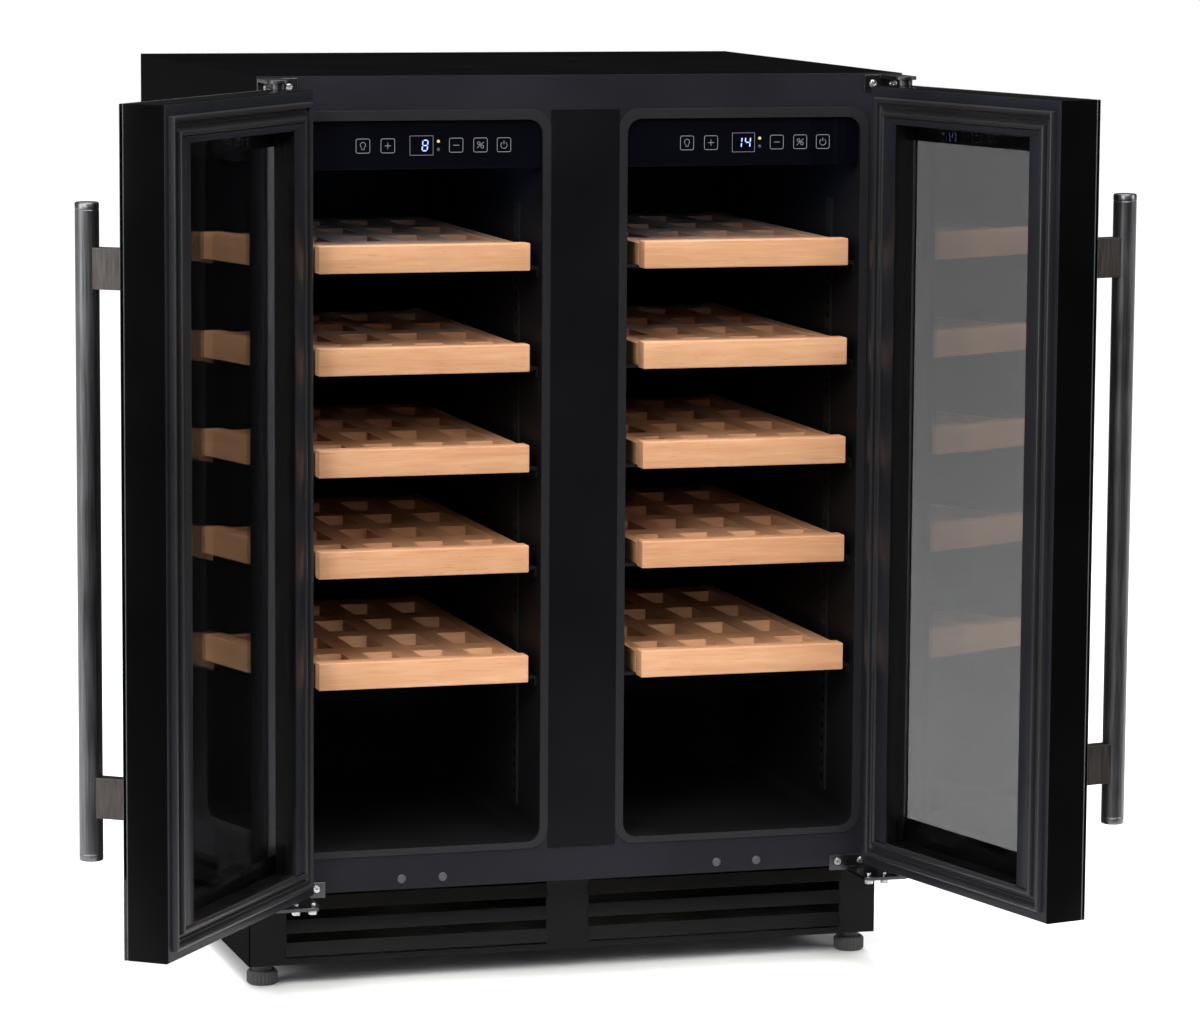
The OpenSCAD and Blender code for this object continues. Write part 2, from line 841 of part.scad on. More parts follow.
// The upper hinge plate's outline round the pivot, drawn from above.
module hinge_outline() {
  translate([-pivot_x, pivot_y])
    circle(r = hinge_end_r);
  translate([-pivot_x - hinge_end_r, pivot_y])
    square([2 * hinge_end_r, front_y - pivot_y]);
}

// The lower hinge's plate, with two rounded corners in front.
module bottom_plate_outline() {
  inner_x = -half_w + bottom_plate_w;
  rounded_rectangle(-half_w, inner_x, front_y - bottom_plate_d, front_y, 8);
  translate([-half_w, front_y - 10])
    square([bottom_plate_w, 10]);
}

module hinge_bolt_places() {
  for (x = [bolt_x - bolt_pitch / 2, bolt_x + bolt_pitch / 2])
    translate([-x, bolt_y, bottom_plate_z])
      children();
}

module hinge_screw_places() {
  top_z = top_plate_z - top_flange_h / 2 + 1;
  low_z = bottom_plate_z + bottom_flange_h - 6;
  inset = 8;
  for (x = [half_w - inset - 1, half_w - top_flange_w + inset])
    translate([-x, front_y, top_z])
      rotate([90, 0, 0])
        children();
  for (x = [half_w - inset - 2, half_w - bottom_flange_w / 2, half_w - bottom_flange_w + inset])
    translate([-x, front_y, low_z])
      rotate([90, 0, 0])
        children();
}

module top_hinge(side) {
  color([0.2, 0.2, 0.21])
    on_side(side)
      difference() {
        union() {
          translate([0, 0, top_plate_z])
            linear_extrude(height = hinge_t)
              hinge_outline();
          box([-half_w, front_y - flange_t, top_plate_z - top_flange_h],
            [-half_w + top_flange_w, front_y, top_plate_z + hinge_t]);
          translate([-pivot_x, pivot_y, door_top + fit])
            cylinder(r = pin_d / 2 + 3, h = top_plate_z - door_top - fit + 1);
          translate([-pivot_x, pivot_y, door_top - pin_in])
            cylinder(d = pin_d, h = pin_in + top_plate_z - door_top + 1);
        }
        hinge_screw_places()
          cylinder(d = screw_d + 2 * fit, h = 20, center = true);
      }
}

module bottom_hinge(side) {
  color([0.2, 0.2, 0.21])
    on_side(side)
      difference() {
        union() {
          translate([0, 0, bottom_plate_z])
            linear_extrude(height = hinge_t)
              bottom_plate_outline();
          box([-half_w, front_y - flange_t, bottom_plate_z],
            [-half_w + bottom_flange_w, front_y, bottom_plate_z + bottom_flange_h]);
          translate([-pivot_x, pivot_y, bottom_plate_z + 1])
            cylinder(r = pin_d / 2 + 3, h = door_z - fit - bottom_plate_z - 1);
          translate([-pivot_x, pivot_y, bottom_plate_z + 1])
            cylinder(d = pin_d, h = door_z - bottom_plate_z - 1 + pin_in);
        }
        hinge_screw_places()
          cylinder(d = screw_d + 2 * fit, h = 20, center = true);
        hinge_bolt_places()
          cylinder(d = bolt_d + 2 * fit, h = 20, center = true);
      }
}

// Screws in the hinge flanges, and two bolts through each lower hinge plate.
module hinge_screws() {
  color([0.5, 0.5, 0.51])
    for (side = [-1, 1])
      on_side(side) {
        hinge_screw_places() {
          translate([0, 0, flange_t])
            cylinder(d = head_d, h = head_t);
          translate([0, 0, -sheet_t])
            cylinder(d = screw_d, h = sheet_t + flange_t + 0.2);
        }
        hinge_bolt_places() {
          translate([0, 0, -bolt_head_t])
            cylinder(d = bolt_head_d, h = bolt_head_t, $fn = 6);
          translate([0, 0, -0.2])
            cylinder(d = bolt_d, h = hinge_t + 3.2);
        }
      }
}

module rail_plugs() {
  plug_h = 1.5;
  color([0.16, 0.16, 0.17])
    for (x = plug_xs)
      translate([x, front_y, plug_z])
        rotate([90, 0, 0]) {
          cylinder(d = plug_d, h = plug_h);
          translate([0, 0, -sheet_t])
            cylinder(d = plug_d / 2, h = sheet_t + 0.2);
        }
}

// A screw foot: a round pad, a hexagon and a stud through the base pan.
module foot(side, y) {
  neck_h = 7;
  neck_d = foot_d - 9;
  color([0.09, 0.09, 0.095])
    on_side(side)
      translate([-foot_x, y, 0])
        union() {
          translate([0, 0, -foot_h])
            cylinder(d = foot_d, h = foot_h - neck_h);
          translate([0, 0, -neck_h - 0.2])
            cylinder(d = neck_d, h = neck_h - 0.3, $fn = 6);
          translate([0, 0, -1])
            cylinder(d = stud_d, h = stud_up + 1);
        }
}

// Doors. A door is drawn closed, with X from its hinge edge and Y from its inner face.

module door_place(side) {
  angle = side < 0 ? left_open : right_open;
  on_side(side)
    translate([-pivot_x, pivot_y, 0])
      rotate([0, 0, -angle])
        translate([-pivot_u, pivot_v, 0])
          children();
}

module door_frame(side) {
  low = [hinge_stile_w, window_z];
  high = [hinge_stile_w + window_w, window_z + window_h];
  color([0.06, 0.06, 0.066])
    door_place(side)
      difference() {
        box([0, -frame_v, door_z], [door_w, 0, door_top]);
        box([low[0], -frame_v - eps, low[1]], [high[0], eps, high[1]]);
        box([low[0] - frame_step_w, -frame_step_d, low[1] - frame_step_w],
          [high[0] + frame_step_w, eps, high[1] + frame_step_w]);
        box([low[0] - frame_step_w, -frame_v - eps, low[1] - frame_step_w],
          [high[0] + frame_step_w, -pane_recess, high[1] + frame_step_w]);
        for (z = [door_z - eps, door_top - pin_in - 2])
          translate([pivot_u, -pivot_v, z])
            cylinder(r = pin_d / 2 + pin_clear, h = pin_in + 2 + eps);
      }
}

module outer_glass(side) {
  color([0.04, 0.045, 0.05])
    door_place(side)
      box([0, -door_t, door_z], [door_w, -frame_v, door_top]);
}

// The inner pane and the spacer bar that holds it off the outer glass.
module inner_glazing(side) {
  grow = frame_step_w - fit;
  low = [hinge_stile_w - grow, window_z - grow];
  high = [hinge_stile_w + window_w + grow, window_z + window_h + grow];
  color([0.2, 0.22, 0.24])
    door_place(side) {
      box([low[0], -pane_recess - glass_t, low[1]], [high[0], -pane_recess, high[1]]);
      difference() {
        box([low[0], -frame_v, low[1]],
          [high[0], -pane_recess - glass_t - glue_gap, high[1]]);
        box([low[0] + spacer_w, -frame_v - eps, low[1] + spacer_w],
          [high[0] - spacer_w, -pane_recess, high[1] - spacer_w]);
      }
    }
}

module gasket(side) {
  low = [gasket_inset, gasket_z];
  high = [door_w - gasket_free, gasket_top];
  color([0.2, 0.2, 0.21])
    door_place(side)
      union() {
        gasket_ring(low, high, 0, gasket_w, gasket_base_t);
        gasket_ring(low, high, 0, rib_w, gasket_v);
        gasket_ring(low, high, gasket_w - rib_w, rib_w, gasket_v);
      }
}

module gasket_ring(low, high, inset, width, height) {
  difference() {
    box([low[0] + inset, 0, low[1] + inset], [high[0] - inset, height, high[1] - inset]);
    box([low[0] + inset + width, -eps, low[1] + inset + width],
      [high[0] - inset - width, height + eps, high[1] - inset - width]);
  }
}

module handle_bar(side) {
  color([0.3, 0.3, 0.31])
    door_place(side)
      translate([bar_u, -bar_v, bar_z])
        cylinder(d = bar_d, h = bar_h);
}

// Two flat posts from the outer glass to the bar, hollowed to seat on it.
module handle_posts(side) {
  color([0.27, 0.27, 0.28])
    door_place(side)
      for (z = [bar_z + post_inset, bar_z + bar_h - post_inset])
        difference() {
          box([bar_u - post_w / 2, -bar_v + bar_d / 2 - 3, z - post_h / 2],
            [bar_u + post_w / 2, -door_t, z + post_h / 2]);
          translate([bar_u, -bar_v, z - post_h])
            cylinder(d = bar_d + 0.1, h = 2 * post_h);
        }
}

side_panel(-1);  // side_panel_left
side_panel(1);  // side_panel_right
top_panel();
rear_panel();
base_pan();
front_frame();
mullion_cover();
insulation();
liner(-1);  // liner_left
liner(1);  // liner_right
kick_grille();
control_panel(-1);  // control_panel_left
control_panel(1);  // control_panel_right
light_lenses();
runners(-1);  // runners_left
runners(1);  // runners_right
duct_cover(-1);  // duct_cover_left
duct_cover(1);  // duct_cover_right
evaporator(-1);  // evaporator_left
evaporator(1);  // evaporator_right
cooling_fan(-1);  // cooling_fan_left
cooling_fan(1);  // cooling_fan_right
compressor();
condenser();
condenser_fan();
fan_bracket();
drip_tray();
power_box();
top_hinge(-1);  // top_hinge_left
top_hinge(1);  // top_hinge_right
bottom_hinge(-1);  // bottom_hinge_left
bottom_hinge(1);  // bottom_hinge_right
hinge_screws();
rail_plugs();
foot(-1, front_foot_y);  // foot_front_left
foot(1, front_foot_y);  // foot_front_right
foot(-1, rear_foot_y);  // foot_rear_left
foot(1, rear_foot_y);  // foot_rear_right
door_frame(-1);  // left_door_frame
outer_glass(-1);  // left_outer_glass
inner_glazing(-1);  // left_inner_glazing
gasket(-1);  // left_gasket
handle_bar(-1);  // left_handle_bar
handle_posts(-1);  // left_handle_posts
door_frame(1);  // right_door_frame
outer_glass(1);  // right_outer_glass
inner_glazing(1);  // right_inner_glazing
gasket(1);  // right_gasket
handle_bar(1);  // right_handle_bar
handle_posts(1);  // right_handle_posts
shelf(-1, 1);  // shelf_left_1
shelf(-1, 2);  // shelf_left_2
shelf(-1, 3);  // shelf_left_3
shelf(-1, 4);  // shelf_left_4
shelf(-1, 5);  // shelf_left_5
shelf(1, 1);  // shelf_right_1
shelf(1, 2);  // shelf_right_2
shelf(1, 3);  // shelf_right_3
shelf(1, 4);  // shelf_right_4
shelf(1, 5);  // shelf_right_5
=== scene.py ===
# %% [markdown]
# # A wine cooler with two glass doors
# A built-in wine cooler has a steel cabinet, two compartments side by side, five sliding beech
# shelves in each, and a glass door on each compartment. Here the CAD model is loaded as a fixed
# frame, and the looks are built on it: finishes for every part, panes with a printed border,
# moulded gaskets, eased shelf boards, turned handle bars and the small repeated hardware.
# All lengths are in metres. X runs to the right, Y runs back and Z runs up.

# %% Load the frame
import json
import math

import bmesh
import bpy
from mathutils import Matrix, Vector


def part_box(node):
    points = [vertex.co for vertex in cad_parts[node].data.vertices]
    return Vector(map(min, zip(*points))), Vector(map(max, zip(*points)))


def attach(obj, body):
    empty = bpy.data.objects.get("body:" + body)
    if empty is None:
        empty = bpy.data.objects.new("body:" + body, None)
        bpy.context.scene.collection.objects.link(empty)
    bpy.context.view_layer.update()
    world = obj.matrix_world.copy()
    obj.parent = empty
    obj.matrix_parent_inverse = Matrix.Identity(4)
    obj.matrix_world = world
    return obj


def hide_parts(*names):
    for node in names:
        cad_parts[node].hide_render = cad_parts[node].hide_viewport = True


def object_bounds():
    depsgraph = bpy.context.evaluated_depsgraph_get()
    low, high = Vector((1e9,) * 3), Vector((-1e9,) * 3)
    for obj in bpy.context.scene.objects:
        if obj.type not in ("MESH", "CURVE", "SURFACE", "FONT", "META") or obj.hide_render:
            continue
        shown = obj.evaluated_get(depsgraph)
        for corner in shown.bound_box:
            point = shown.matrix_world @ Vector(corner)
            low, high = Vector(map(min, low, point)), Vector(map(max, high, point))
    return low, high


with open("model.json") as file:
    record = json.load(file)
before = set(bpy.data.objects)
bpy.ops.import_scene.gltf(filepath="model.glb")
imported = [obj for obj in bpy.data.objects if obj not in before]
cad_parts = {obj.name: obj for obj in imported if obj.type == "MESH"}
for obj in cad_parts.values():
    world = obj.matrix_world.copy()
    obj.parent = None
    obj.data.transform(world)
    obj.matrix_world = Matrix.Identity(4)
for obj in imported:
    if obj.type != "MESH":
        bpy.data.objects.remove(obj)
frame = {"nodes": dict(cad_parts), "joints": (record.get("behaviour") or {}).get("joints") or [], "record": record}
cad_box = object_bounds()
nodes = frame["nodes"]
scene = bpy.context.scene
MM = 0.001

# %% [markdown]
# ## The camera
# The cooler is seen from the front, a little from the left and from above, with a long lens, so
# that its upright edges stay nearly parallel. A camera looks along its own -Z. Its matrix is
# made here from three directions: right, up and back. Yaw turns it sideways, pitch tips it down
# and roll leans it.

# %% Camera
def camera_at(place, yaw, pitch, roll, lens):
    yaw, pitch, roll = (math.radians(a) for a in (yaw, pitch, roll))
    ahead = Vector((math.sin(yaw) * math.cos(pitch), math.cos(yaw) * math.cos(pitch), -math.sin(pitch)))
    right = Vector((math.cos(yaw), -math.sin(yaw), 0))
    up = right.cross(ahead)
    right, up = (
        right * math.cos(roll) + up * math.sin(roll),
        up * math.cos(roll) - right * math.sin(roll),
    )
    data = bpy.data.cameras.new("camera")
    data.lens, data.sensor_width, data.clip_end = lens, 36, 60
    camera = bpy.data.objects.new("camera", data)
    camera.matrix_world = Matrix.Translation(place) @ Matrix((right, up, -ahead)).transposed().to_4x4()
    scene.collection.objects.link(camera)
    return camera


scene.camera = camera_at((-1.2140, -4.6904, 0.9824), 16.446, 7.494, 0.382, 146.5)
print("camera", [round(a, 3) for a in scene.camera.location])

# %% [markdown]
# ## A small language for shaders
# A material is a tree of nodes. Written as plain calls, a tree soon gets hard to read, so
# `Value` wraps one output socket and gives it Python's arithmetic signs: `1 - mask` adds a Math
# node. `Finish` is one material. Its `add` makes any node from a type, its settings and its
# inputs. Colours are mixed with a Mix node, because a Math node would turn them grey.

# %% Sockets that can be added and multiplied
class Value:
    """One output socket, with arithmetic that adds Math nodes."""

    def __init__(self, finish, socket):
        self.finish, self.socket = finish, socket

    def maths(self, operation, *inputs):
        return self.finish.add("ShaderNodeMath", {"operation": operation}, dict(enumerate(inputs)))

    def __add__(self, other):
        return self.maths("ADD", self, other)

    def __sub__(self, other):
        return self.maths("SUBTRACT", self, other)

    def __rsub__(self, other):
        return self.maths("SUBTRACT", other, self)

    def __mul__(self, other):
        return self.maths("MULTIPLY", self, other)

    def __truediv__(self, other):
        return self.maths("DIVIDE", self, other)

    def __gt__(self, other):
        return self.maths("GREATER_THAN", self, other)

    def __lt__(self, other):
        return self.maths("LESS_THAN", self, other)

    __radd__, __rmul__ = __add__, __mul__


def linear(*display):
    """A colour given as display numbers from 0 to 255, turned into light."""
    return tuple((c / 255 / 12.92) if c <= 10 else ((c / 255 + 0.055) / 1.055) ** 2.4 for c in display)


class Finish:
    """One material: a Principled shader and the nodes that feed it."""

    def __init__(self, name, **constants):
        self.material = bpy.data.materials.new(name)
        self.material.use_nodes = True
        self.nodes = self.material.node_tree.nodes
        self.shader = self.nodes["Principled BSDF"]
        for words, value in constants.items():
            self.shader.inputs[words.replace("_", " ")].default_value = value
        self.place = self.add("ShaderNodeTexCoord", out="Object")
        parts = self.add("ShaderNodeSeparateXYZ", inputs={0: self.place})
        self.x, self.y, self.z = (Value(self, s) for s in parts.socket.node.outputs)

    def add(self, kind, settings=None, inputs=None, out=0):
        node = self.nodes.new(kind)
        for setting, value in (settings or {}).items():
            setattr(node, setting, value)
        for socket, value in (inputs or {}).items():
            self.join(node.inputs[socket], value)
        return Value(self, node.outputs[out])

    def join(self, socket, value):
        if isinstance(value, Value):
            self.material.node_tree.links.new(value.socket, socket)
        elif isinstance(value, tuple) and len(value) == 3 and socket.type == "RGBA":
            socket.default_value = (*value, 1)
        else:
            socket.default_value = value

    def feed(self, **inputs):
        for words, value in inputs.items():
            self.join(self.shader.inputs[words.replace("_", " ")], value)
        return self

    def stretched(self, stretch, place=None):
        return self.add("ShaderNodeMapping", inputs={"Vector": place or self.place, "Scale": stretch})

    def noise(self, scale, detail=3.0, stretch=None, place=None, distortion=0.0):
        where = self.stretched(stretch, place) if stretch else (place or self.place)
        return self.add(
            "ShaderNodeTexNoise",
            inputs={"Vector": where, "Scale": scale, "Detail": detail, "Distortion": distortion},
        )

    def cells(self, scale, out="Distance", stretch=None, place=None):
        where = self.stretched(stretch, place) if stretch else (place or self.place)
        return self.add("ShaderNodeTexVoronoi", inputs={"Vector": where, "Scale": scale}, out=out)

    def ramp(self, value, low, high, to_low=0.0, to_high=1.0):
        return self.add(
            "ShaderNodeMapRange",
            inputs={"Value": value, "From Min": low, "From Max": high, "To Min": to_low, "To Max": to_high},
        )

    def mix(self, factor, first, second):
        return self.add("ShaderNodeMix", {"data_type": "RGBA"}, {0: factor, 6: first, 7: second}, out=2)

    def rounding(self, radius):
        """The normal that the surface would have with its edges rounded to this radius."""
        return self.add("ShaderNodeBevel", inputs={"Radius": radius})

    def wear_and_highlight(self, radius=0.0008):
        """1 on edges and 0 on flats, from how far the rounded normal leans from the true one."""
        true = self.add("ShaderNodeNewGeometry", out="Normal")
        lean = self.add(
            "ShaderNodeVectorMath", {"operation": "DOT_PRODUCT"},
            {0: self.rounding(radius), 1: true}, out="Value",
        )
        return self.ramp(lean, 0.995, 0.9)

    def bump(self, height, strength, distance=0.0004, radius=0.0007):
        inputs = {"Height": height, "Strength": strength, "Distance": distance}
        if radius:
            inputs["Normal"] = self.rounding(radius)
        return self.feed(Normal=self.add("ShaderNodeBump", inputs=inputs))


finishes = {}
print("shader helpers ready")

# %% [markdown]
# ## Painted steel and moulded plastic
# Most of the cabinet is dark and matt. A dark part is never one flat black: powder coat has a
# fine orange peel, moulded plastic has a grain, and both rub lighter along their edges. One
# function makes such a finish from its colour, its grain size and its gloss, so that the parts
# differ in the ways real ones do. The lighter edges come from a Bevel node, which also rounds the
# knife-sharp CAD edges in the shading. On the gasket the lightening is set high, and there the
# light lines along its edges and crests are a painted highlight.

# %% Dark coats
def coated(slot, colour, grain, gloss, level=0.25, wear_and_highlight=0.5, peel=0.12, patch=0.25, radius=0.0007, ior=1.3):
    made = Finish(slot, Specular_IOR_Level=level, IOR=ior)
    cloud = made.noise(9, 4)
    fine = made.noise(grain, 2)
    dark = tuple(c * (1 - patch) for c in colour)
    light = tuple(min(1, c * (1 + patch)) for c in colour)
    # lighter edge colour: rubbed wear on the coats, and a painted highlight on the gasket
    rubbed_and_highlit = tuple(min(1, c * 2.6 + 0.012) for c in colour)
    tone = made.mix(made.ramp(cloud * 0.6 + fine * 0.4, 0.35, 0.65), dark, light)
    edge = made.wear_and_highlight() * made.ramp(made.noise(60, 3), 0.3, 0.7, 0.35, 1.0) * wear_and_highlight
    made.feed(
        Base_Color=made.mix(edge, tone, rubbed_and_highlit),
        Roughness=made.ramp(cloud * 0.5 + fine * 0.5, 0.3, 0.7, gloss - 0.06, gloss + 0.08),
    )
    made.bump(fine, peel, radius=radius)
    finishes[slot] = made
    return made


coated("black_paint", linear(6, 6, 7), 1400, 0.5, level=0.1, wear_and_highlight=0.25, ior=1.06)
coated("charcoal_paint", linear(29, 29, 34), 1600, 0.40, level=0.1, wear_and_highlight=0.3)
coated("mullion_trim", linear(14, 14, 16), 1200, 0.36, level=0.12, wear_and_highlight=0.3)
coated("kick_plastic", linear(19, 19, 20), 1500, 0.36, level=0.16)
coated("runner_steel", linear(26, 26, 27), 1400, 0.38, level=0.35)
coated("duct_plastic", linear(22, 22, 23), 1500, 0.5, level=0.2)
coated("fan_plastic", linear(32, 32, 34), 1500, 0.42, level=0.3)
coated("compressor_paint", linear(14, 14, 15), 500, 0.25, level=0.4, peel=0.3)
coated("tray_plastic", linear(60, 60, 62), 1500, 0.5, level=0.3)
coated("box_plastic", linear(88, 88, 90), 1500, 0.5, level=0.3)
coated("plug_plastic", linear(70, 71, 76), 1500, 0.34, level=0.45)
coated("foot_plastic", linear(66, 66, 67), 1300, 0.4, level=0.4)
print("coats:", ", ".join(finishes))

# %% [markdown]
# ## The liner
# Each compartment is one vacuum-formed tub. Its walls have a fine leather-like grain, and its
# rim, which folds out over the steel frame, is smoother. A painted highlight makes the rim a
# lighter grey, which shows as a thin grey line round the opening. The rim is the only part in
# front of the frame's face, so a mask on Y finds it.

# %% Liner with a painted highlight on its rim
def liner_finish():
    made = coated("liner_plastic", linear(19, 19, 21), 1500, 0.42, level=0.3, wear_and_highlight=0.6)
    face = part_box("front_frame")[0].y
    rim = made.y < face + 0.0002
    tone = made.shader.inputs["Base Color"].links[0].from_socket
    # painted highlight: the rim gets a lighter grey than the liner's walls
    painted_rim_highlight = made.mix(made.noise(200, 3), linear(24, 24, 26), linear(36, 36, 38))
    made.feed(Base_Color=made.mix(rim, Value(made, tone), painted_rim_highlight))
    pores = made.cells(900)
    made.bump(pores * 0.6 + made.noise(300, 4) * 0.4, 0.16, 0.0003)


liner_finish()

# %% [markdown]
# ## Bare and plated metal
# Galvanised sheet shows spangle: flat crystals of different greys. Zinc-plated and turned steel
# show fine lines along the way that they were worked. Metal is told from plastic by Metallic 1,
# which colours its reflections.

# %% Metals
def brushed(slot, colour, stretch, rough, lines=0.35, fine=900, spread=0.3):
    made = Finish(slot, Metallic=1.0)
    streak = made.noise(fine, 3, stretch=stretch)
    cloud = made.noise(14, 3)
    dark = tuple(c * (1 - spread) for c in colour)
    light = tuple(min(1, c * (1 + spread)) for c in colour)
    tone = made.mix(made.ramp(streak * 0.7 + cloud * 0.3, 0.35, 0.65), dark, light)
    bright = tuple(min(1, c * 1.9) for c in colour)
    made.feed(
        Base_Color=made.mix(made.wear_and_highlight() * 0.6, tone, bright),
        Roughness=made.ramp(streak * 0.6 + cloud * 0.4, 0.3, 0.7, rough - 0.07, rough + 0.1),
    )
    made.bump(streak, lines, 0.0001)
    finishes[slot] = made
    return made


def spangled():
    made = Finish("galvanised", Metallic=0.85)
    crystal = made.cells(60, out="Color")
    shade = made.add("ShaderNodeSeparateColor", inputs={0: crystal})
    stain = made.noise(7, 5)
    tone = made.mix(made.ramp(shade, 0, 1), linear(95, 96, 99), linear(139, 140, 144))
    made.feed(
        Base_Color=made.mix(made.ramp(stain, 0.5, 0.75), tone, linear(84, 83, 82)),
        Roughness=made.ramp(shade, 0, 1, 0.32, 0.55),
    )
    made.bump(made.noise(120, 4), 0.1)
    finishes["galvanised"] = made


spangled()
brushed("hinge_steel", linear(70, 70, 72), (1, 1, 0.06), 0.3)
brushed("screw_steel", linear(170, 170, 174), (1, 0.2, 1), 0.26)
brushed("handle_steel", linear(96, 96, 98), (1, 1, 0.02), 0.36, lines=0.5)
brushed("post_steel", linear(72, 68, 66), (1, 1, 0.05), 0.4)
brushed("fin_aluminium", linear(196, 198, 200), (1, 1, 0.1), 0.35)
brushed("condenser_paint", linear(70, 70, 73), (1, 1, 0.1), 0.45)
brushed("bracket_steel", linear(140, 140, 146), (1, 0.1, 1), 0.38)
print("finishes so far:", len(finishes))

# %% [markdown]
# ## Beech
# Beech is a pale, even, slightly pink wood with short dark flecks along the grain. The grain
# runs along each stick, so its direction differs: along X in the front boards and in the cross
# slats, and along Y in the side rails and long slats. A mask built from the shelf's own sizes
# picks the direction. The grain itself is noise squeezed along the grain, and the flecks are
# cells squeezed even more.

# %% Beech with grain that follows each stick
shelf_low, shelf_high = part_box("shelf_left_1")
compartment_x = abs(shelf_low.x + shelf_high.x) / 2
BOARD_T = 18 * MM
RAIL_W = 12 * MM
CROSS_W = 32 * MM
rack_depth = shelf_high.y - shelf_low.y - BOARD_T
gap_depth = (rack_depth - 4 * CROSS_W) / 4


def beech_finish():
    made = Finish("beech", Specular_IOR_Level=0.35)
    board = made.y < shelf_low.y + BOARD_T
    along = (made.y - (shelf_low.y + BOARD_T)) / (gap_depth + CROSS_W)
    row = along.maths("FRACT", along) > gap_depth / (gap_depth + CROSS_W)
    side = made.x.maths("ABSOLUTE", made.x) - compartment_x
    inside = side.maths("ABSOLUTE", side) < (shelf_high.x - shelf_low.x) / 2 - RAIL_W
    crosswise = board.maths("MAXIMUM", board, row * inside)
    place = made.add(
        "ShaderNodeMix",
        {"data_type": "VECTOR"},
        {0: crosswise, 4: made.stretched((1, 0.06, 1)), 5: made.stretched((0.06, 1, 1))},
        out=1,
    )
    bands = made.noise(55, 3, place=place, distortion=0.4)
    fibres = made.noise(520, 3, place=place)
    cloud = made.noise(11, 3)
    fleck = made.cells(420, place=made.stretched((1, 1, 1), place))
    marks = made.ramp(fleck, 0.2, 0.08) * made.ramp(made.noise(160, 2), 0.42, 0.58)
    pale, deep = linear(208, 160, 122), linear(182, 130, 92)
    tone = made.mix(made.ramp(bands * 0.5 + fibres * 0.28 + cloud * 0.22, 0.36, 0.64), deep, pale)
    tone = made.mix(marks * 0.5, tone, linear(146, 94, 58))
    end = made.wear_and_highlight(0.001) * made.ramp(made.noise(90, 3), 0.35, 0.7)
    made.feed(
        Base_Color=made.mix(end * 0.35, tone, linear(236, 190, 146)),
        Roughness=made.ramp(fibres, 0.3, 0.7, 0.42, 0.6),
    )
    made.bump(fibres * 0.7 + bands * 0.3 - marks * 0.4, 0.3, 0.0003)
    finishes["beech"] = made


beech_finish()
print("cross slats repeat every", round((gap_depth + CROSS_W) * 1000, 1), "mm")

# %% [markdown]
# ## Glass, gloss, light and rubber
# The panes are clear solids that tint the light as it goes through: the outer one is strongly
# tinted, to keep the sun off the wine. The black border is print on the back of the pane, so it
# is seen through the glass and looks deep. The control panels are gloss black plastic over dark
# windows. The light lens glows blue-white.

# %% Panes and their print
def glass(slot, tint, rough=0.0):
    made = Finish(slot, Transmission_Weight=1.0, IOR=1.35)
    film = made.noise(5, 4, stretch=(1, 1, 0.4))
    low = tuple(c * 0.97 for c in tint)
    made.feed(
        Base_Color=made.mix(made.ramp(film, 0.35, 0.65), low, tint),
        Roughness=made.ramp(made.noise(30, 3), 0.5, 0.8, rough, rough + 0.015),
    )
    finishes[slot] = made


glass("black_glass", (0.14, 0.14, 0.142))
glass("inner_glass", (0.84, 0.85, 0.845))
# painted highlight: an opaque light grey for the eased edges of the outer pane
glass_edge_highlight = coated("glass_edge_highlight", linear(84, 88, 88), 600, 0.35, level=0.4, wear_and_highlight=0.2)

# black print for the panes' borders; the same black dresses the mitre lines, the step walls and, as painted shade,
# the strip slots
print_and_shade_black = Finish("printed_border_and_shade", Specular_IOR_Level=0.3)
print_and_shade_black.feed(
    Base_Color=print_and_shade_black.mix(print_and_shade_black.noise(700, 2), linear(5, 5, 6), linear(12, 12, 13)),
    Roughness=print_and_shade_black.ramp(print_and_shade_black.noise(40), 0.3, 0.7, 0.12, 0.25),
)
print_and_shade_black.bump(print_and_shade_black.noise(900), 0.03, 0.0001, radius=0)

# %% Gloss panel, light lens, gasket, frame profile and foam
panel_gloss = Finish("control_gloss", Coat_Weight=0.3, Coat_Roughness=0.03, Specular_IOR_Level=0.15)
smear = panel_gloss.noise(18, 5)
panel_gloss.feed(
    Base_Color=panel_gloss.mix(smear, linear(3, 3, 7), linear(7, 8, 14)),
    Roughness=panel_gloss.ramp(smear, 0.35, 0.7, 0.05, 0.16),
)
panel_gloss.bump(panel_gloss.noise(25, 2), 0.015, 0.0005)
finishes["control_gloss"] = panel_gloss

lens = Finish("lens", Emission_Strength=14.0)
ribs = lens.add("ShaderNodeTexWave", inputs={"Vector": lens.place, "Scale": 120.0})
lens.feed(
    Base_Color=lens.mix(ribs, linear(200, 214, 232), linear(226, 236, 248)),
    Emission_Color=lens.mix(ribs, (0.20, 0.42, 1.0), (0.36, 0.6, 1.0)),
    Roughness=lens.ramp(ribs, 0, 1, 0.3, 0.5),
)
lens.bump(ribs, 0.3)
finishes["lens"] = lens

# painted highlight: strong edge lightening paints light lines along the gasket's edges and crests
coated("gasket_rubber", linear(30, 30, 32), 700, 0.34, level=0.55, wear_and_highlight=0.9, peel=0.12)
profile = coated("door_frame_plastic", linear(26, 27, 31), 1800, 0.3, level=0.22, wear_and_highlight=0.9, peel=0.05)
gloss_side = coated("door_side", linear(6, 6, 6), 1800, 0.2, level=0.1, wear_and_highlight=0.2, peel=0.03)
coated("foam", linear(214, 204, 170), 300, 0.8, wear_and_highlight=0.1, peel=0.8)
print("all slots have a finish:", {s["material_slot"] for s in frame["record"]["subparts"]} <= set(finishes))

# %% Dress every CAD node
for part in frame["record"]["subparts"]:
    nodes[part["node"]].material_slots[0].material = finishes[part["material_slot"]].material

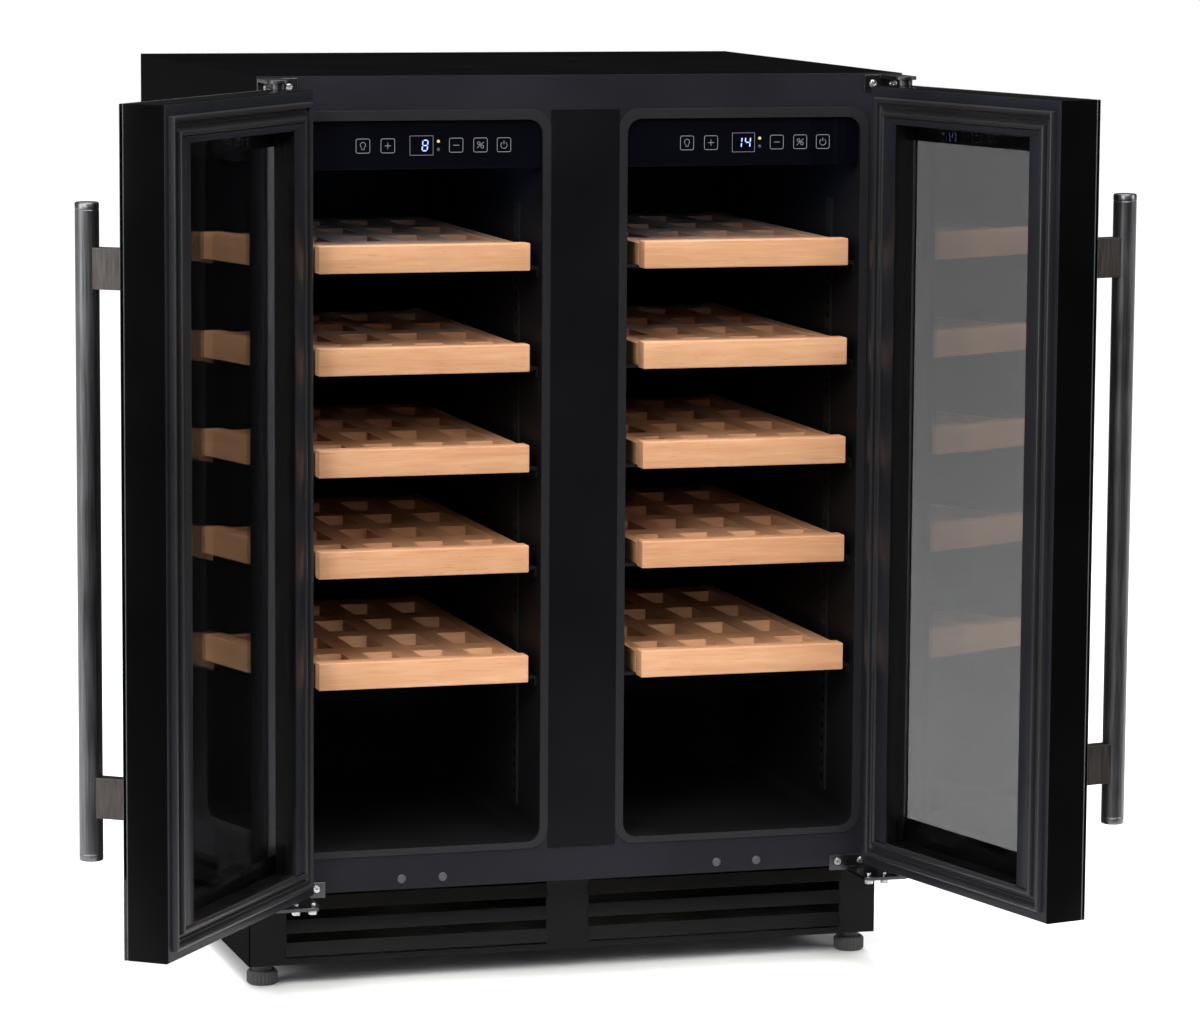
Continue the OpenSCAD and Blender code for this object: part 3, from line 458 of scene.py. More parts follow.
# %% [markdown]
# ## From shut to open
# The doors rest open, turned on their hinges, and pieces are awkward to draw at an odd angle.
# So each door piece is drawn in the door's own measures: u from the hinge edge, v outwards from
# the door's inner face, and z up. One matrix per door takes those measures to the shut door's
# place and then swings it by the joint's own rest angle. The sizes come from the CAD frame
# turned back to shut.

# %% The doors' matrices
def swing(side):
    joint = next(j for j in frame["joints"] if j["name"] == f"door_{side}_hinge")
    pivot = Matrix.Translation(joint["pos_m"])
    turn = Matrix.Rotation(math.radians(-joint["range_deg"][0]), 4, Vector(joint["axis"]))
    return pivot @ turn @ pivot.inverted()


def corners_of(spots):
    """The lowest and highest corners of a set of points."""
    return tuple(Vector([pick(spot[i] for spot in spots) for i in range(3)]) for pick in (min, max))


def box_through(matrix, node):
    """A node's box in the measures that this matrix takes to the frame."""
    back = matrix.inverted()
    return corners_of([back @ v.co for v in nodes[node].data.vertices])


def door_measures(side):
    low, high = box_through(swing(side), f"{side}_door_frame")
    way = 1 if side == "left" else -1
    hinge_x = low.x if side == "left" else high.x
    flat = Matrix(((way, 0, 0, hinge_x), (0, -1, 0, high.y), (0, 0, 1, 0), (0, 0, 0, 1)))
    return swing(side) @ flat, high.x - low.x, high.y - low.y, low.z, high.z


door = {side: door_measures(side) for side in ("left", "right")}
for side, (_, wide, deep, low, high) in door.items():
    print(side, "door frame:", [round(a * 1000, 1) for a in (wide, deep, low, high)], "mm")


def door_box(side, node):
    """A node's box in its door's own measures u, v and z."""
    return box_through(door[side][0], node)


# %% [markdown]
# ## Making a piece
# Every new piece is a mesh whose points are already in place, so its object can stay at the
# origin. `settle` links it, gives it its finish, puts it under the empty of the body that it
# rides on and hides the CAD nodes that it stands for. Normals are worked out again on the
# finished shape, because a mirrored matrix turns faces inside out.

# %% Settle a mesh as a piece
def settle(name, shape, finish, body, stands_for=(), matrix=None, smooth=None):
    if matrix is not None:
        bmesh.ops.transform(shape, matrix=matrix, verts=shape.verts)
    bmesh.ops.recalc_face_normals(shape, faces=shape.faces)
    mesh = bpy.data.meshes.new(name)
    shape.to_mesh(mesh)
    shape.free()
    return settle_mesh(name, mesh, finish, body, stands_for, smooth)


def settle_mesh(name, mesh, finish, body, stands_for=(), smooth=None):
    piece = bpy.data.objects.new(name, mesh)
    scene.collection.objects.link(piece)
    bands = [face.material_index for face in mesh.polygons]
    mesh.materials.clear()
    for each in finish if isinstance(finish, (list, tuple)) else [finish]:
        mesh.materials.append(each.material)
    mesh.polygons.foreach_set("material_index", bands)
    if smooth:
        mesh.shade_smooth()
        mesh.set_sharp_from_angle(angle=math.radians(smooth))
    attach(piece, body)
    if stands_for:
        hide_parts(*stands_for)
    return piece


# %% Shapes that the pieces share
def eased_box(shape, low, high, ease, steps=3):
    """A box with rounded edges, added to a bmesh."""
    made = bmesh.ops.create_cube(shape, size=1)["verts"]
    for v in made:
        v.co = Vector([low[i] if v.co[i] < 0 else high[i] for i in range(3)])
    edges = list({e for v in made for e in v.link_edges})
    bmesh.ops.bevel(shape, geom=edges, offset=ease, segments=steps, profile=0.5, affect="EDGES")


def nested(shape, rings, closed=False, finish_of=None):
    """A skin over rectangles in u and z, each given as (u0, u1, z0, z1, v)."""
    loops = [
        [shape.verts.new((u, v, z)) for u, z in ((u0, z0), (u1, z0), (u1, z1), (u0, z1))]
        for u0, u1, z0, z1, v in rings
    ]
    pairs = list(zip(loops, loops[1:])) + ([(loops[-1], loops[0])] if closed else [])
    for band, (one, two) in enumerate(pairs):
        for i in range(4):
            face = shape.faces.new((one[i], one[(i + 1) % 4], two[(i + 1) % 4], two[i]))
            face.material_index = finish_of.get(band, 0) if finish_of else 0
    if not closed:
        shape.faces.new(loops[0])
        shape.faces.new(loops[-1])


def turned(shape, outline, centre, steps=48):
    """A solid turned round an upright axis. The outline is (radius, height) and starts and ends on the axis."""
    loops = []
    for r, z in outline:
        ring = 1 if r == 0 else steps
        loops.append(
            [
                shape.verts.new((centre[0] + r * math.cos(t), centre[1] + r * math.sin(t), z))
                for t in (2 * math.pi * i / steps for i in range(ring))
            ]
        )
    for one, two in zip(loops, loops[1:]):
        for i in range(steps):
            j = (i + 1) % steps
            corners = [one[i % len(one)], one[j % len(one)], two[j % len(two)], two[i % len(two)]]
            shape.faces.new(list(dict.fromkeys(corners)))


def inset(box, by, v):
    u0, u1, z0, z1 = box
    return (u0 + by, u1 - by, z0 + by, z1 - by, v)


print("shapes ready")

# %% [markdown]
# ## The panes
# A door has two panes with a sealed space between them. The outer one covers the whole door.
# The small eases round its edge are painted a light grey, a painted highlight that shows as a
# thin light line from the side. Both have a black printed border that hides the glue and the
# spacer bar. Each pane is one closed skin over nested rectangles, and only the band of faces that
# carries the print gets the print's finish. BORDER is how far the print reaches in from the
# door's edges, and UNIT is how far in the inner pane starts.

# %% Outer and inner panes with their borders
PANE_T, LAP, SPACER_W, SPACER_GAP = 4 * MM, 4.7 * MM, 8 * MM, 0.05 * MM
BORDER = {"hinge": 24 * MM, "free": 22 * MM, "low": 43 * MM, "high": 47 * MM}
UNIT = {"hinge": 14 * MM, "free": 10 * MM, "low": 12 * MM, "high": 12 * MM}
window, unit = {}, {}


def within(side, margin):
    """The rectangle in u and z that lies these margins inside a door's edges."""
    _, wide, _, low, high = door[side]
    return margin["hinge"], wide - margin["free"], low + margin["low"], high - margin["high"]


def seal_edge(side):
    """The outer rectangle of a door's gasket in u and z."""
    low, high = door_box(side, f"{side}_gasket")
    return low.x, high.x, low.z, high.z


for side in ("left", "right"):
    matrix = door[side][0]
    glazing_low, glazing_high = door_box(side, f"{side}_inner_glazing")
    window[side] = (glazing_low.x + LAP, glazing_high.x - LAP, glazing_low.z + LAP, glazing_high.z - LAP)
    clear, unit[side] = within(side, BORDER), within(side, UNIT)
    outer = door_box(side, f"{side}_outer_glass")
    edge, ease = (outer[0].x, outer[1].x, outer[0].z, outer[1].z), 0.7 * MM
    shape = bmesh.new()
    nested(
        shape,
        [
            inset(edge, ease, outer[1].y),
            inset(edge, 0, outer[1].y - ease),
            inset(edge, 0, outer[0].y + ease),
            inset(edge, ease, outer[0].y),
            (*clear, outer[0].y),
        ],
        finish_of={0: 2, 2: 2, 3: 1},
    )
    # bands 0 and 2, the eases round the edge, get the painted highlight of the glass edge
    settle(
        f"{side}_outer_pane", shape, [finishes["black_glass"], print_and_shade_black, glass_edge_highlight], f"door_{side}",
        [f"{side}_outer_glass"], matrix,
    )
    pane = unit[side]
    front, back = glazing_low.y, glazing_low.y + PANE_T
    shape = bmesh.new()
    nested(
        shape,
        [inset(pane, 0, front), inset(pane, 0, back), (*clear, back)],
        finish_of={1: 1},
    )
    settle(
        f"{side}_inner_pane", shape, [finishes["inner_glass"], print_and_shade_black], f"door_{side}",
        [f"{side}_inner_glazing"], matrix,
    )
    shape = bmesh.new()
    near, far = back + SPACER_GAP, glazing_high.y - SPACER_GAP
    spacer = ((0, near), (0, far), (SPACER_W, far), (SPACER_W, near))
    nested(shape, [inset(pane, by, v) for by, v in spacer], closed=True)
    settle(f"{side}_spacer_bar", shape, finishes["bracket_steel"], f"door_{side}", (), matrix)
    print(side, "clear glass:", [round(a * 1000) for a in clear], "mm")

# %% [markdown]
# ## The gaskets
# The door seal is a soft extrusion with two raised bulbs, a small fin between them and a flat
# foot. It is cut at 45 degrees and welded at the corners. It is drawn as a cross-section, in
# millimetres in from its edge and up from the frame, whose points are carried round nested
# rectangles, which mitres the corners exactly.

# %% Gasket profile carried round each door
GASKET = [
    (0, 0.05), (0, 3.6), (0.5, 4.9), (1.5, 5.5), (2.8, 5.55), (4, 5), (4.6, 3.9), (4.9, 1.2), (6.6, 0.9),
    (7.2, 2.6), (7.8, 3), (8.4, 2.6), (9, 0.9), (11.6, 0.9), (12, 3.2), (12.7, 4.8), (13.8, 5.5), (15.2, 5.55),
    (16.3, 4.9), (16.9, 3.8), (17, 0.05),
]
for side in ("left", "right"):
    shape = bmesh.new()
    nested(shape, [inset(seal_edge(side), t * MM, -h * MM) for t, h in GASKET], closed=True)
    settle(
        f"{side}_seal", shape, finishes["gasket_rubber"], f"door_{side}",
        [f"{side}_gasket"], door[side][0], smooth=38,
    )
print("gaskets:", len(GASKET), "points in the section")

# %% [markdown]
# ## The door frames
# Each frame is four lengths of extruded plastic, mitred at the corners, so a fine joint line
# runs across each corner of the raised flat between the gasket and the step down to the glass.
# The frame's own skin is drawn the same way as the gasket. The step's walls are black, as the
# print on the glass is. RIM is how far in from the door's edges the raised flat ends. The holes
# for the hinge pins are hidden by the hinges' collars.

# %% Door frame skins and mitre lines
RIM = {"hinge": 49.5 * MM, "free": 40 * MM, "low": 27 * MM, "high": 33 * MM}
RIM_HIGH, RIM_EASE, LEDGE, PANE_SEAT = 4.6 * MM, 0.8 * MM, 6 * MM, 17 * MM
SIDE_BANDS, STEP_BANDS = range(3), range(10, 17)


def frame_rings(side):
    _, wide, deep, low, high = door[side]
    u0, u1, z0, z1 = window[side]
    edge, seal, rim = (0, wide, low, high), seal_edge(side), within(side, RIM)
    top, r, seal_w = -RIM_HIGH, RIM_EASE, (GASKET[-1][0] + 0.3) * MM
    return [
        inset(edge, 0.3 * MM, deep), inset(edge, 0, deep - 0.3 * MM), inset(edge, 0, 1.6 * MM),
        inset(edge, 0.5 * MM, 0.5 * MM), inset(edge, 1.6 * MM, 0), inset(seal, 0, 0),
        inset(seal, seal_w, 0), inset(seal, seal_w, r + top), inset(seal, seal_w + 0.3 * r, 0.3 * r + top),
        inset(seal, seal_w + r, top), inset(rim, -r, top), inset(rim, -0.3 * r, 0.3 * r + top),
        inset(rim, 0, r + top), inset(rim, 0, LEDGE), (u0, u1, z0, z1, LEDGE), (u0, u1, z0, z1, PANE_SEAT),
        inset(unit[side], 0, PANE_SEAT), inset(unit[side], 0, deep),
    ]


def strokes(name, lines, radius, finish, body, matrix=None):
    """Thin round lines: each is (points, closed)."""
    curve = bpy.data.curves.new(name, "CURVE")
    curve.dimensions, curve.bevel_depth, curve.bevel_resolution, curve.use_fill_caps = "3D", radius, 1, True
    for points, closed in lines:
        line = curve.splines.new("POLY")
        line.points.add(len(points) - 1)
        for spot, at in zip(line.points, points):
            spot.co = (*at, 1)
        line.use_cyclic_u = closed
    holder = bpy.data.objects.new(name, curve)
    scene.collection.objects.link(holder)
    mesh = bpy.data.meshes.new_from_object(holder.evaluated_get(bpy.context.evaluated_depsgraph_get()))
    bpy.data.objects.remove(holder)
    shape = bmesh.new()
    shape.from_mesh(mesh)
    return settle(name, shape, finish, body, (), matrix, smooth=50)


def four_corners(u0, u1, z0, z1):
    return (u0, z0), (u1, z0), (u1, z1), (u0, z1)


for side in ("left", "right"):
    matrix = door[side][0]
    shape = bmesh.new()
    painted = dict.fromkeys(SIDE_BANDS, 1) | dict.fromkeys(STEP_BANDS, 2)
    nested(shape, frame_rings(side), closed=True, finish_of=painted)
    settle(
        f"{side}_frame_skin", shape, [profile, gloss_side, print_and_shade_black], f"door_{side}",
        [f"{side}_door_frame"], matrix, smooth=35,
    )
    *flat_edge, top = inset(seal_edge(side), 18 * MM, -RIM_HIGH)
    ends = zip(four_corners(*flat_edge), four_corners(*within(side, RIM)))
    mitres = [([(ua, top, za), (ub, top, zb)], False) for (ua, za), (ub, zb) in ends]
    strokes(f"{side}_mitre_lines", mitres, 0.12 * MM, print_and_shade_black, f"door_{side}", matrix)
print("door frames:", len(frame_rings("left")), "rings each")

# %% [markdown]
# ## Handle bars
# The bars are drawn steel tube with a pressed-in cap at each end. The cap has a small chamfer
# and leaves a fine seam. A turned solid says all that in one outline.

# %% Turned handle bars
for side in ("left", "right"):
    low, high = door_box(side, f"{side}_handle_bar")
    r = (high.x - low.x) / 2
    end = [(0, 0), (r - 1.6 * MM, 0), (r - 0.5 * MM, 0.4 * MM), (r, 1.4 * MM), (r, 5.6 * MM),
           (r - 0.3 * MM, 5.9 * MM), (r - 0.3 * MM, 6.3 * MM), (r, 6.6 * MM)]
    outline = [(a, low.z + b) for a, b in end] + [(a, high.z - b) for a, b in reversed(end)]
    shape = bmesh.new()
    turned(shape, outline, ((low.x + high.x) / 2, (low.y + high.y) / 2))
    settle(
        f"{side}_grip", shape, finishes["handle_steel"], f"door_{side}",
        [f"{side}_handle_bar"], door[side][0], smooth=30,
    )
    print(side, "bar:", round(r * 2000, 1), "mm thick and", round((high.z - low.z) * 1000), "mm long")

# %% [markdown]
# ## Shelves
# A shelf is a beech front board glued to a rack of thin sticks. The board is eased all round,
# which is what the eye meets first, so it is a new rounded solid. The rack keeps the CAD shape
# with its bottle cradles: a copy of the node, less the board.

# %% Front boards and racks
BOARD_H, BOARD_EASE = 24.4 * MM, 1.1 * MM


def rack_of(node):
    shape = bmesh.new()
    shape.from_mesh(nodes[node].data)
    bmesh.ops.remove_doubles(shape, verts=shape.verts, dist=1e-6)
    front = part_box(node)[0].y + BOARD_T + 0.01 * MM
    bmesh.ops.delete(shape, geom=[v for v in shape.verts if v.co.y < front], context="VERTS")
    return shape


for node in sorted(n for n in nodes if n.startswith("shelf_")):
    low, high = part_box(node)
    board = bmesh.new()
    eased_box(board, (low.x, low.y, high.z - BOARD_H), (high.x, low.y + BOARD_T, high.z), BOARD_EASE)
    settle(f"{node}_board", board, finishes["beech"], node, (), smooth=40)
    settle(f"{node}_rack", rack_of(node), finishes["beech"], node, [node])
print("shelves:", len([n for n in nodes if n.startswith("shelf_")]))

# %% [markdown]
# ## Things that repeat
# Screws, slots and ribs are made with Geometry Nodes: a tree places one small shape on many
# points. `Tree` builds such a tree in the script with named inputs. `grow` puts it on a mesh of
# points as a modifier, sets its inputs by their identifiers, and turns the result into a plain
# mesh. Realize Instances makes real faces of the copies, and Set Material dresses them.

# %% Trees of geometry nodes
class Tree:
    def __init__(self, name, **inputs):
        self.group = bpy.data.node_groups.new(name, "GeometryNodeTree")
        face = self.group.interface
        face.new_socket("Geometry", in_out="INPUT", socket_type="NodeSocketGeometry")
        face.new_socket("Geometry", in_out="OUTPUT", socket_type="NodeSocketGeometry")
        kinds = {float: "NodeSocketFloat", int: "NodeSocketInt", tuple: "NodeSocketVector"}
        for words, value in inputs.items():
            socket = face.new_socket(words, in_out="INPUT", socket_type=kinds[type(value)])
            socket.default_value = value
        face.new_socket("Finish", in_out="INPUT", socket_type="NodeSocketMaterial")
        self.start = self.group.nodes.new("NodeGroupInput")

    def input(self, words):
        return self.start.outputs[words]

    def add(self, kind, settings=None, inputs=None, out=0):
        node = self.group.nodes.new(kind)
        for setting, value in (settings or {}).items():
            setattr(node, setting, value)
        for socket, value in (inputs or {}).items():
            for each in value if isinstance(value, list) else [value]:
                if isinstance(each, bpy.types.NodeSocket):
                    self.group.links.new(each, node.inputs[socket])
                else:
                    node.inputs[socket].default_value = each
        return node.outputs[out]

    def end(self, copies):
        real = self.add("GeometryNodeRealizeInstances", inputs={0: copies})
        dress = {"Geometry": real, "Material": self.input("Finish")}
        dressed = self.add("GeometryNodeSetMaterial", inputs=dress)
        self.group.links.new(dressed, self.group.nodes.new("NodeGroupOutput").inputs[0])

    def copies(self, shape, points=None, **more):
        """One copy of a shape on every point, which are the tree's own unless others are given."""
        inputs = {"Points": points or self.input("Geometry"), "Instance": shape, **more}
        return self.add("GeometryNodeInstanceOnPoints", inputs=inputs)

    def grow(self, name, points, finish, body, slot, stands_for=(), **values):
        mesh = bpy.data.meshes.new(name)
        mesh.from_pydata([tuple(p) for p in points], [], [])
        holder = bpy.data.objects.new(name, mesh)
        scene.collection.objects.link(holder)
        modifier = holder.modifiers.new("grow", "NODES")
        modifier.node_group = self.group
        names = {s.name: s.identifier for s in self.group.interface.items_tree if s.in_out == "INPUT"}
        for words, value in {**values, "Finish": finish.material}.items():
            modifier[names[words]] = value
        result = bpy.data.meshes.new_from_object(
            holder.evaluated_get(bpy.context.evaluated_depsgraph_get())
        )
        bpy.data.objects.remove(holder)
        print(name, "has", len(result.polygons), "faces")
        return settle_mesh(name, result, finish, body, stands_for, smooth=35)


# %% [markdown]
# ## Screws, bolts and plugs
# The hinges are held by cross-head screws in their flanges, and the lower plates by hexagon
# bolts from below, whose shanks show above the plate. Four small domed plugs close the holes of
# the lower rail. The tree cuts a cross into a tapered head with a boolean and puts a copy on
# every point.

# %% Cross-head screws
screw = Tree("cross head screw", Radius=0.0038, Height=0.0016, Recess=0.0009, Turn=(math.pi / 2, 0.0, 0.0))
head = screw.add(
    "GeometryNodeMeshCone",
    inputs={"Vertices": 28, "Radius Bottom": screw.input("Radius"), "Depth": screw.input("Height")},
    out="Mesh",
)
waist = screw.add("ShaderNodeMath", {"operation": "MULTIPLY"}, {0: screw.input("Radius"), 1: 0.72})
screw.group.links.new(waist, head.node.inputs["Radius Top"])
long_arm = screw.add("ShaderNodeMath", {"operation": "MULTIPLY"}, {0: screw.input("Radius"), 1: 1.1})
thin_arm = screw.add("ShaderNodeMath", {"operation": "MULTIPLY"}, {0: screw.input("Radius"), 1: 0.24})
deep_arm = screw.add("ShaderNodeMath", {"operation": "MULTIPLY"}, {0: screw.input("Recess"), 1: 2.0})
arms = []
for one, two in ((long_arm, thin_arm), (thin_arm, long_arm)):
    size = screw.add("ShaderNodeCombineXYZ", inputs={0: one, 1: two, 2: deep_arm})
    arm = screw.add("GeometryNodeMeshCube", inputs={"Size": size})
    lift = screw.add("ShaderNodeCombineXYZ", inputs={2: screw.input("Height")})
    arms.append(screw.add("GeometryNodeTransform", inputs={"Geometry": arm, "Translation": lift}))
cut = screw.add("GeometryNodeMeshBoolean", {"operation": "DIFFERENCE"}, {"Mesh 1": head, "Mesh 2": arms})
screw.end(screw.copies(cut, Rotation=screw.input("Turn")))


def islands(node):
    """The boxes of a CAD node's separate solids."""
    shape = bmesh.new()
    shape.from_mesh(nodes[node].data)
    bmesh.ops.remove_doubles(shape, verts=shape.verts, dist=1e-6)
    left, found = set(shape.verts), []
    while left:
        grown, edge = set(), [left.pop()]
        while edge:
            v = edge.pop()
            grown.add(v)
            near = {e.other_vert(v) for e in v.link_edges} & left
            left -= near
            edge.extend(near)
        found.append(corners_of([v.co for v in grown]))
    shape.free()
    return found


flange_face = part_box("front_frame")[0].y
solids = islands("hinge_screws")
BOLT_ACROSS = 6 * MM
flat = [(a, b) for a, b in solids if b.y - a.y < BOLT_ACROSS]
upright = [(a, b) for a, b in solids if b.y - a.y >= BOLT_ACROSS]
screw.grow(
    "hinge_screw_heads",
    [((a.x + b.x) / 2, a.y + 1.6 * MM, (a.z + b.z) / 2) for a, b in flat],
    finishes["screw_steel"], "cabinet", "screw_steel", ["hinge_screws"],
)
print(len(flat), "screws and", len(upright), "bolts")

# %% Hexagon bolts and domed plugs
bolt = Tree("hexagon bolt", Sides=6, Radius=0.004, Height=0.004)
hexagon = bolt.add(
    "GeometryNodeMeshCylinder",
    inputs={"Vertices": bolt.input("Sides"), "Radius": bolt.input("Radius"), "Depth": bolt.input("Height")},
    out="Mesh",
)
bolt.end(bolt.copies(hexagon))
BOLT_HEAD = 4 * MM
bolt.grow(
    "hinge_bolts",
    [((a.x + b.x) / 2, (a.y + b.y) / 2, a.z + BOLT_HEAD / 2) for a, b in upright],
    finishes["screw_steel"], "cabinet", "screw_steel", Height=BOLT_HEAD,
)
bolt.grow(
    "hinge_bolt_shanks",
    [((a.x + b.x) / 2, (a.y + b.y) / 2, (a.z + BOLT_HEAD + b.z) / 2) for a, b in upright],
    finishes["screw_steel"], "cabinet", "screw_steel",
    Sides=24, Radius=2.45 * MM, Height=upright[0][1].z - upright[0][0].z - BOLT_HEAD,
)
dome = Tree("domed plug", Radius=0.004, Height=0.0015)
ball = dome.add(
    "GeometryNodeMeshUVSphere", inputs={"Segments": 28, "Rings": 14, "Radius": dome.input("Radius")}, out="Mesh"
)
flatten = dome.add(
    "ShaderNodeMath", {"operation": "DIVIDE"}, {0: dome.input("Height"), 1: dome.input("Radius")}
)
squeeze = dome.add("ShaderNodeCombineXYZ", inputs={0: 1.0, 1: flatten, 2: 1.0})
dome.end(dome.copies(ball, Scale=squeeze))
dome.grow(
    "rail_plug_domes",
    [((a.x + b.x) / 2, flange_face - 0.02 * MM, (a.z + b.z) / 2) for a, b in islands("rail_plugs")],
    finishes["plug_plastic"], "cabinet", "plug_plastic", ["rail_plugs"], Height=0.00148,
)

# %% [markdown]
# ## Slotted strips and ribbed feet
# The runners hang on upright strips with a row of slots, so that a shelf can go at many heights.
# Each slot is drawn as a thin black plate on the strip's face: painted shade for the dark inside
# of the slot. The feet are screwed by hand, so their pads have ribs to grip. Both are one small
# shape that a line or a circle of points repeats.

# %% Painted slot shades up the strips
slot_shades = Tree("row of slot shades", Count=40, Step=0.012, Size=(0.0003, 0.006, 0.005))
upward = slot_shades.add("ShaderNodeCombineXYZ", inputs={2: slot_shades.input("Step")})
row = slot_shades.add("GeometryNodeMeshLine", inputs={"Count": slot_shades.input("Count"), "Offset": upward})
mark = slot_shades.add("GeometryNodeMeshCube", inputs={"Size": slot_shades.input("Size")})
slot_shades.end(slot_shades.copies(slot_shades.copies(mark, row)))
SLOT_STEP = 12 * MM
STRIP_BACK, STRIP_FACE = 72 * MM, 1.65 * MM
for side in ("left", "right"):
    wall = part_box(f"runners_{side}")
    strip_y = shelf_low.y + BOARD_T + STRIP_BACK
    starts = [(x, strip_y, wall[0].z + SLOT_STEP) for x in (wall[0].x + STRIP_FACE, wall[1].x - STRIP_FACE)]
    # painted shade: thin black plates stand in for the dark inside of each slot
    slot_shades.grow(
        f"{side}_strip_slot_shades", starts, print_and_shade_black, "cabinet", "runner_steel",
        Count=int((wall[1].z - wall[0].z - 2 * SLOT_STEP) / SLOT_STEP), Step=SLOT_STEP,
    )

# %% Ribs round the feet
ribs_tree = Tree("ring of ribs", Count=26, Ring=0.0134, Thick=0.0007, Height=0.010)
circle = ribs_tree.add(
    "GeometryNodeMeshCircle", inputs={"Vertices": ribs_tree.input("Count"), "Radius": ribs_tree.input("Ring")}
)
rib = ribs_tree.add(
    "GeometryNodeMeshCylinder",
    inputs={"Vertices": 8, "Radius": ribs_tree.input("Thick"), "Depth": ribs_tree.input("Height")},
    out="Mesh",
)
ribs_tree.end(ribs_tree.copies(ribs_tree.copies(rib, circle)))
PAD_H, NUT_R, NUT_H, STEM_R, RIB_H = 13 * MM, 9 * MM, 6 * MM, 5 * MM, 9.5 * MM
for node in sorted(n for n in nodes if n.startswith("foot_")):
    low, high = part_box(node)
    centre, r = ((low.x + high.x) / 2, (low.y + high.y) / 2), (high.x - low.x) / 2
    shape = bmesh.new()
    pad, rim_r = low.z + PAD_H, r - 0.8 * MM
    outline = [
        (0, low.z), (r - 2 * MM, low.z), (rim_r, low.z + 1.2 * MM), (rim_r, pad - 1.2 * MM),
        (r - 2 * MM, pad), (NUT_R, pad), (NUT_R, pad + NUT_H), (STEM_R, pad + NUT_H + 0.4 * MM),
        (STEM_R, high.z), (0, high.z),
    ]
    turned(shape, outline, centre)
    settle(f"{node}_pad", shape, finishes["foot_plastic"], node, [node], smooth=35)
    ribs_tree.grow(
        f"{node}_ribs", [(*centre, low.z + PAD_H / 2)], finishes["foot_plastic"], node, "foot_plastic",
        Ring=r - 0.75 * MM, Height=RIB_H,
    )

# %% [markdown]
# ## The control panels
# Behind each gloss panel sit a two-digit display, two indicator dots and five touch keys, which
# shine through as thin lines. They are drawn as hair-thin tubes, half sunk into the panel. A
# plain number is all that the display says.

# %% Light colours for the keys and digits
def glow(name, colour, strength):
    made = Finish(name, Emission_Strength=strength)
    flicker = made.noise(400, 2)
    made.feed(
        Base_Color=made.mix(flicker, linear(40, 40, 42), linear(60, 60, 62)),
        Emission_Color=made.mix(flicker, tuple(c * 0.85 for c in colour), colour),
        Roughness=made.ramp(flicker, 0, 1, 0.3, 0.5),
    )
    return made


key_light = glow("key_light", linear(176, 180, 188), 0.75)
digit_light = glow("digit_light", linear(150, 175, 255), 2.2)
lamp_on = glow("indicator_on", linear(250, 226, 120), 1.2)
lamp_off = glow("indicator_off", linear(90, 90, 94), 0.5)

# %% Key outlines
def arc(cx, cz, r, start, stop, steps=16):
    turn = [math.radians(start + (stop - start) * i / steps) for i in range(steps + 1)]
    return [(cx + r * math.cos(t), cz + r * math.sin(t)) for t in turn]


def key_frame(cx, cz, half=6.2, corner=1.6):
    out = []
    for sx, sz, start in ((1, 1, 0), (-1, 1, 90), (-1, -1, 180), (1, -1, 270)):
        out += arc(cx + sx * (half - corner), cz + sz * (half - corner), corner, start, start + 90, 4)
    return out, True


def key_signs(cx, cz, kind):
    if kind == "plus":
        return [([(cx - 2.8, cz), (cx + 2.8, cz)], False), ([(cx, cz - 2.8), (cx, cz + 2.8)], False)]
    if kind == "minus":
        return [([(cx - 2.8, cz), (cx + 2.8, cz)], False)]
    if kind == "power":
        return [(arc(cx, cz - 0.3, 2.9, 125, 415), False), ([(cx, cz + 0.4), (cx, cz + 3.6)], False)]
    if kind == "mode":
        return [
            (arc(cx - 1.6, cz + 1.5, 1.3, 0, 340), True), (arc(cx + 1.6, cz - 1.5, 1.3, 0, 340), True),
            ([(cx - 3.2, cz - 2.8), (cx + 3.2, cz + 2.8)], False),
        ]
    return [
        (arc(cx, cz + 0.9, 2.4, -50, 230), False),
        ([(cx - 1.2, cz - 1.2), (cx - 1.1, cz - 3.2), (cx + 1.1, cz - 3.2), (cx + 1.2, cz - 1.2)], False),
    ]


SEGMENTS = {"1": "bc", "4": "fgbc", "8": "abcdefg"}


def digit(cx, cz, number, half=2.3, tall=4.6):
    ends = {
        "a": ((-1, 2), (1, 2)), "b": ((1, 2), (1, 1)), "c": ((1, 1), (1, 0)), "d": ((-1, 0), (1, 0)),
        "e": ((-1, 1), (-1, 0)), "f": ((-1, 2), (-1, 1)), "g": ((-1, 1), (1, 1)),
    }
    lines = []
    for segment in SEGMENTS[number]:
        spots = []
        for i, (sx, sz) in enumerate(ends[segment]):
            other = ends[segment][1 - i]
            x, z = sx * half, (sz - 1) * tall
            x += 0.14 * (other[0] - sx) * half
            z += 0.14 * (other[1] - sz) * tall
            spots.append((cx + x + 0.1 * z, cz + z))
        lines.append((spots, False))
    return lines


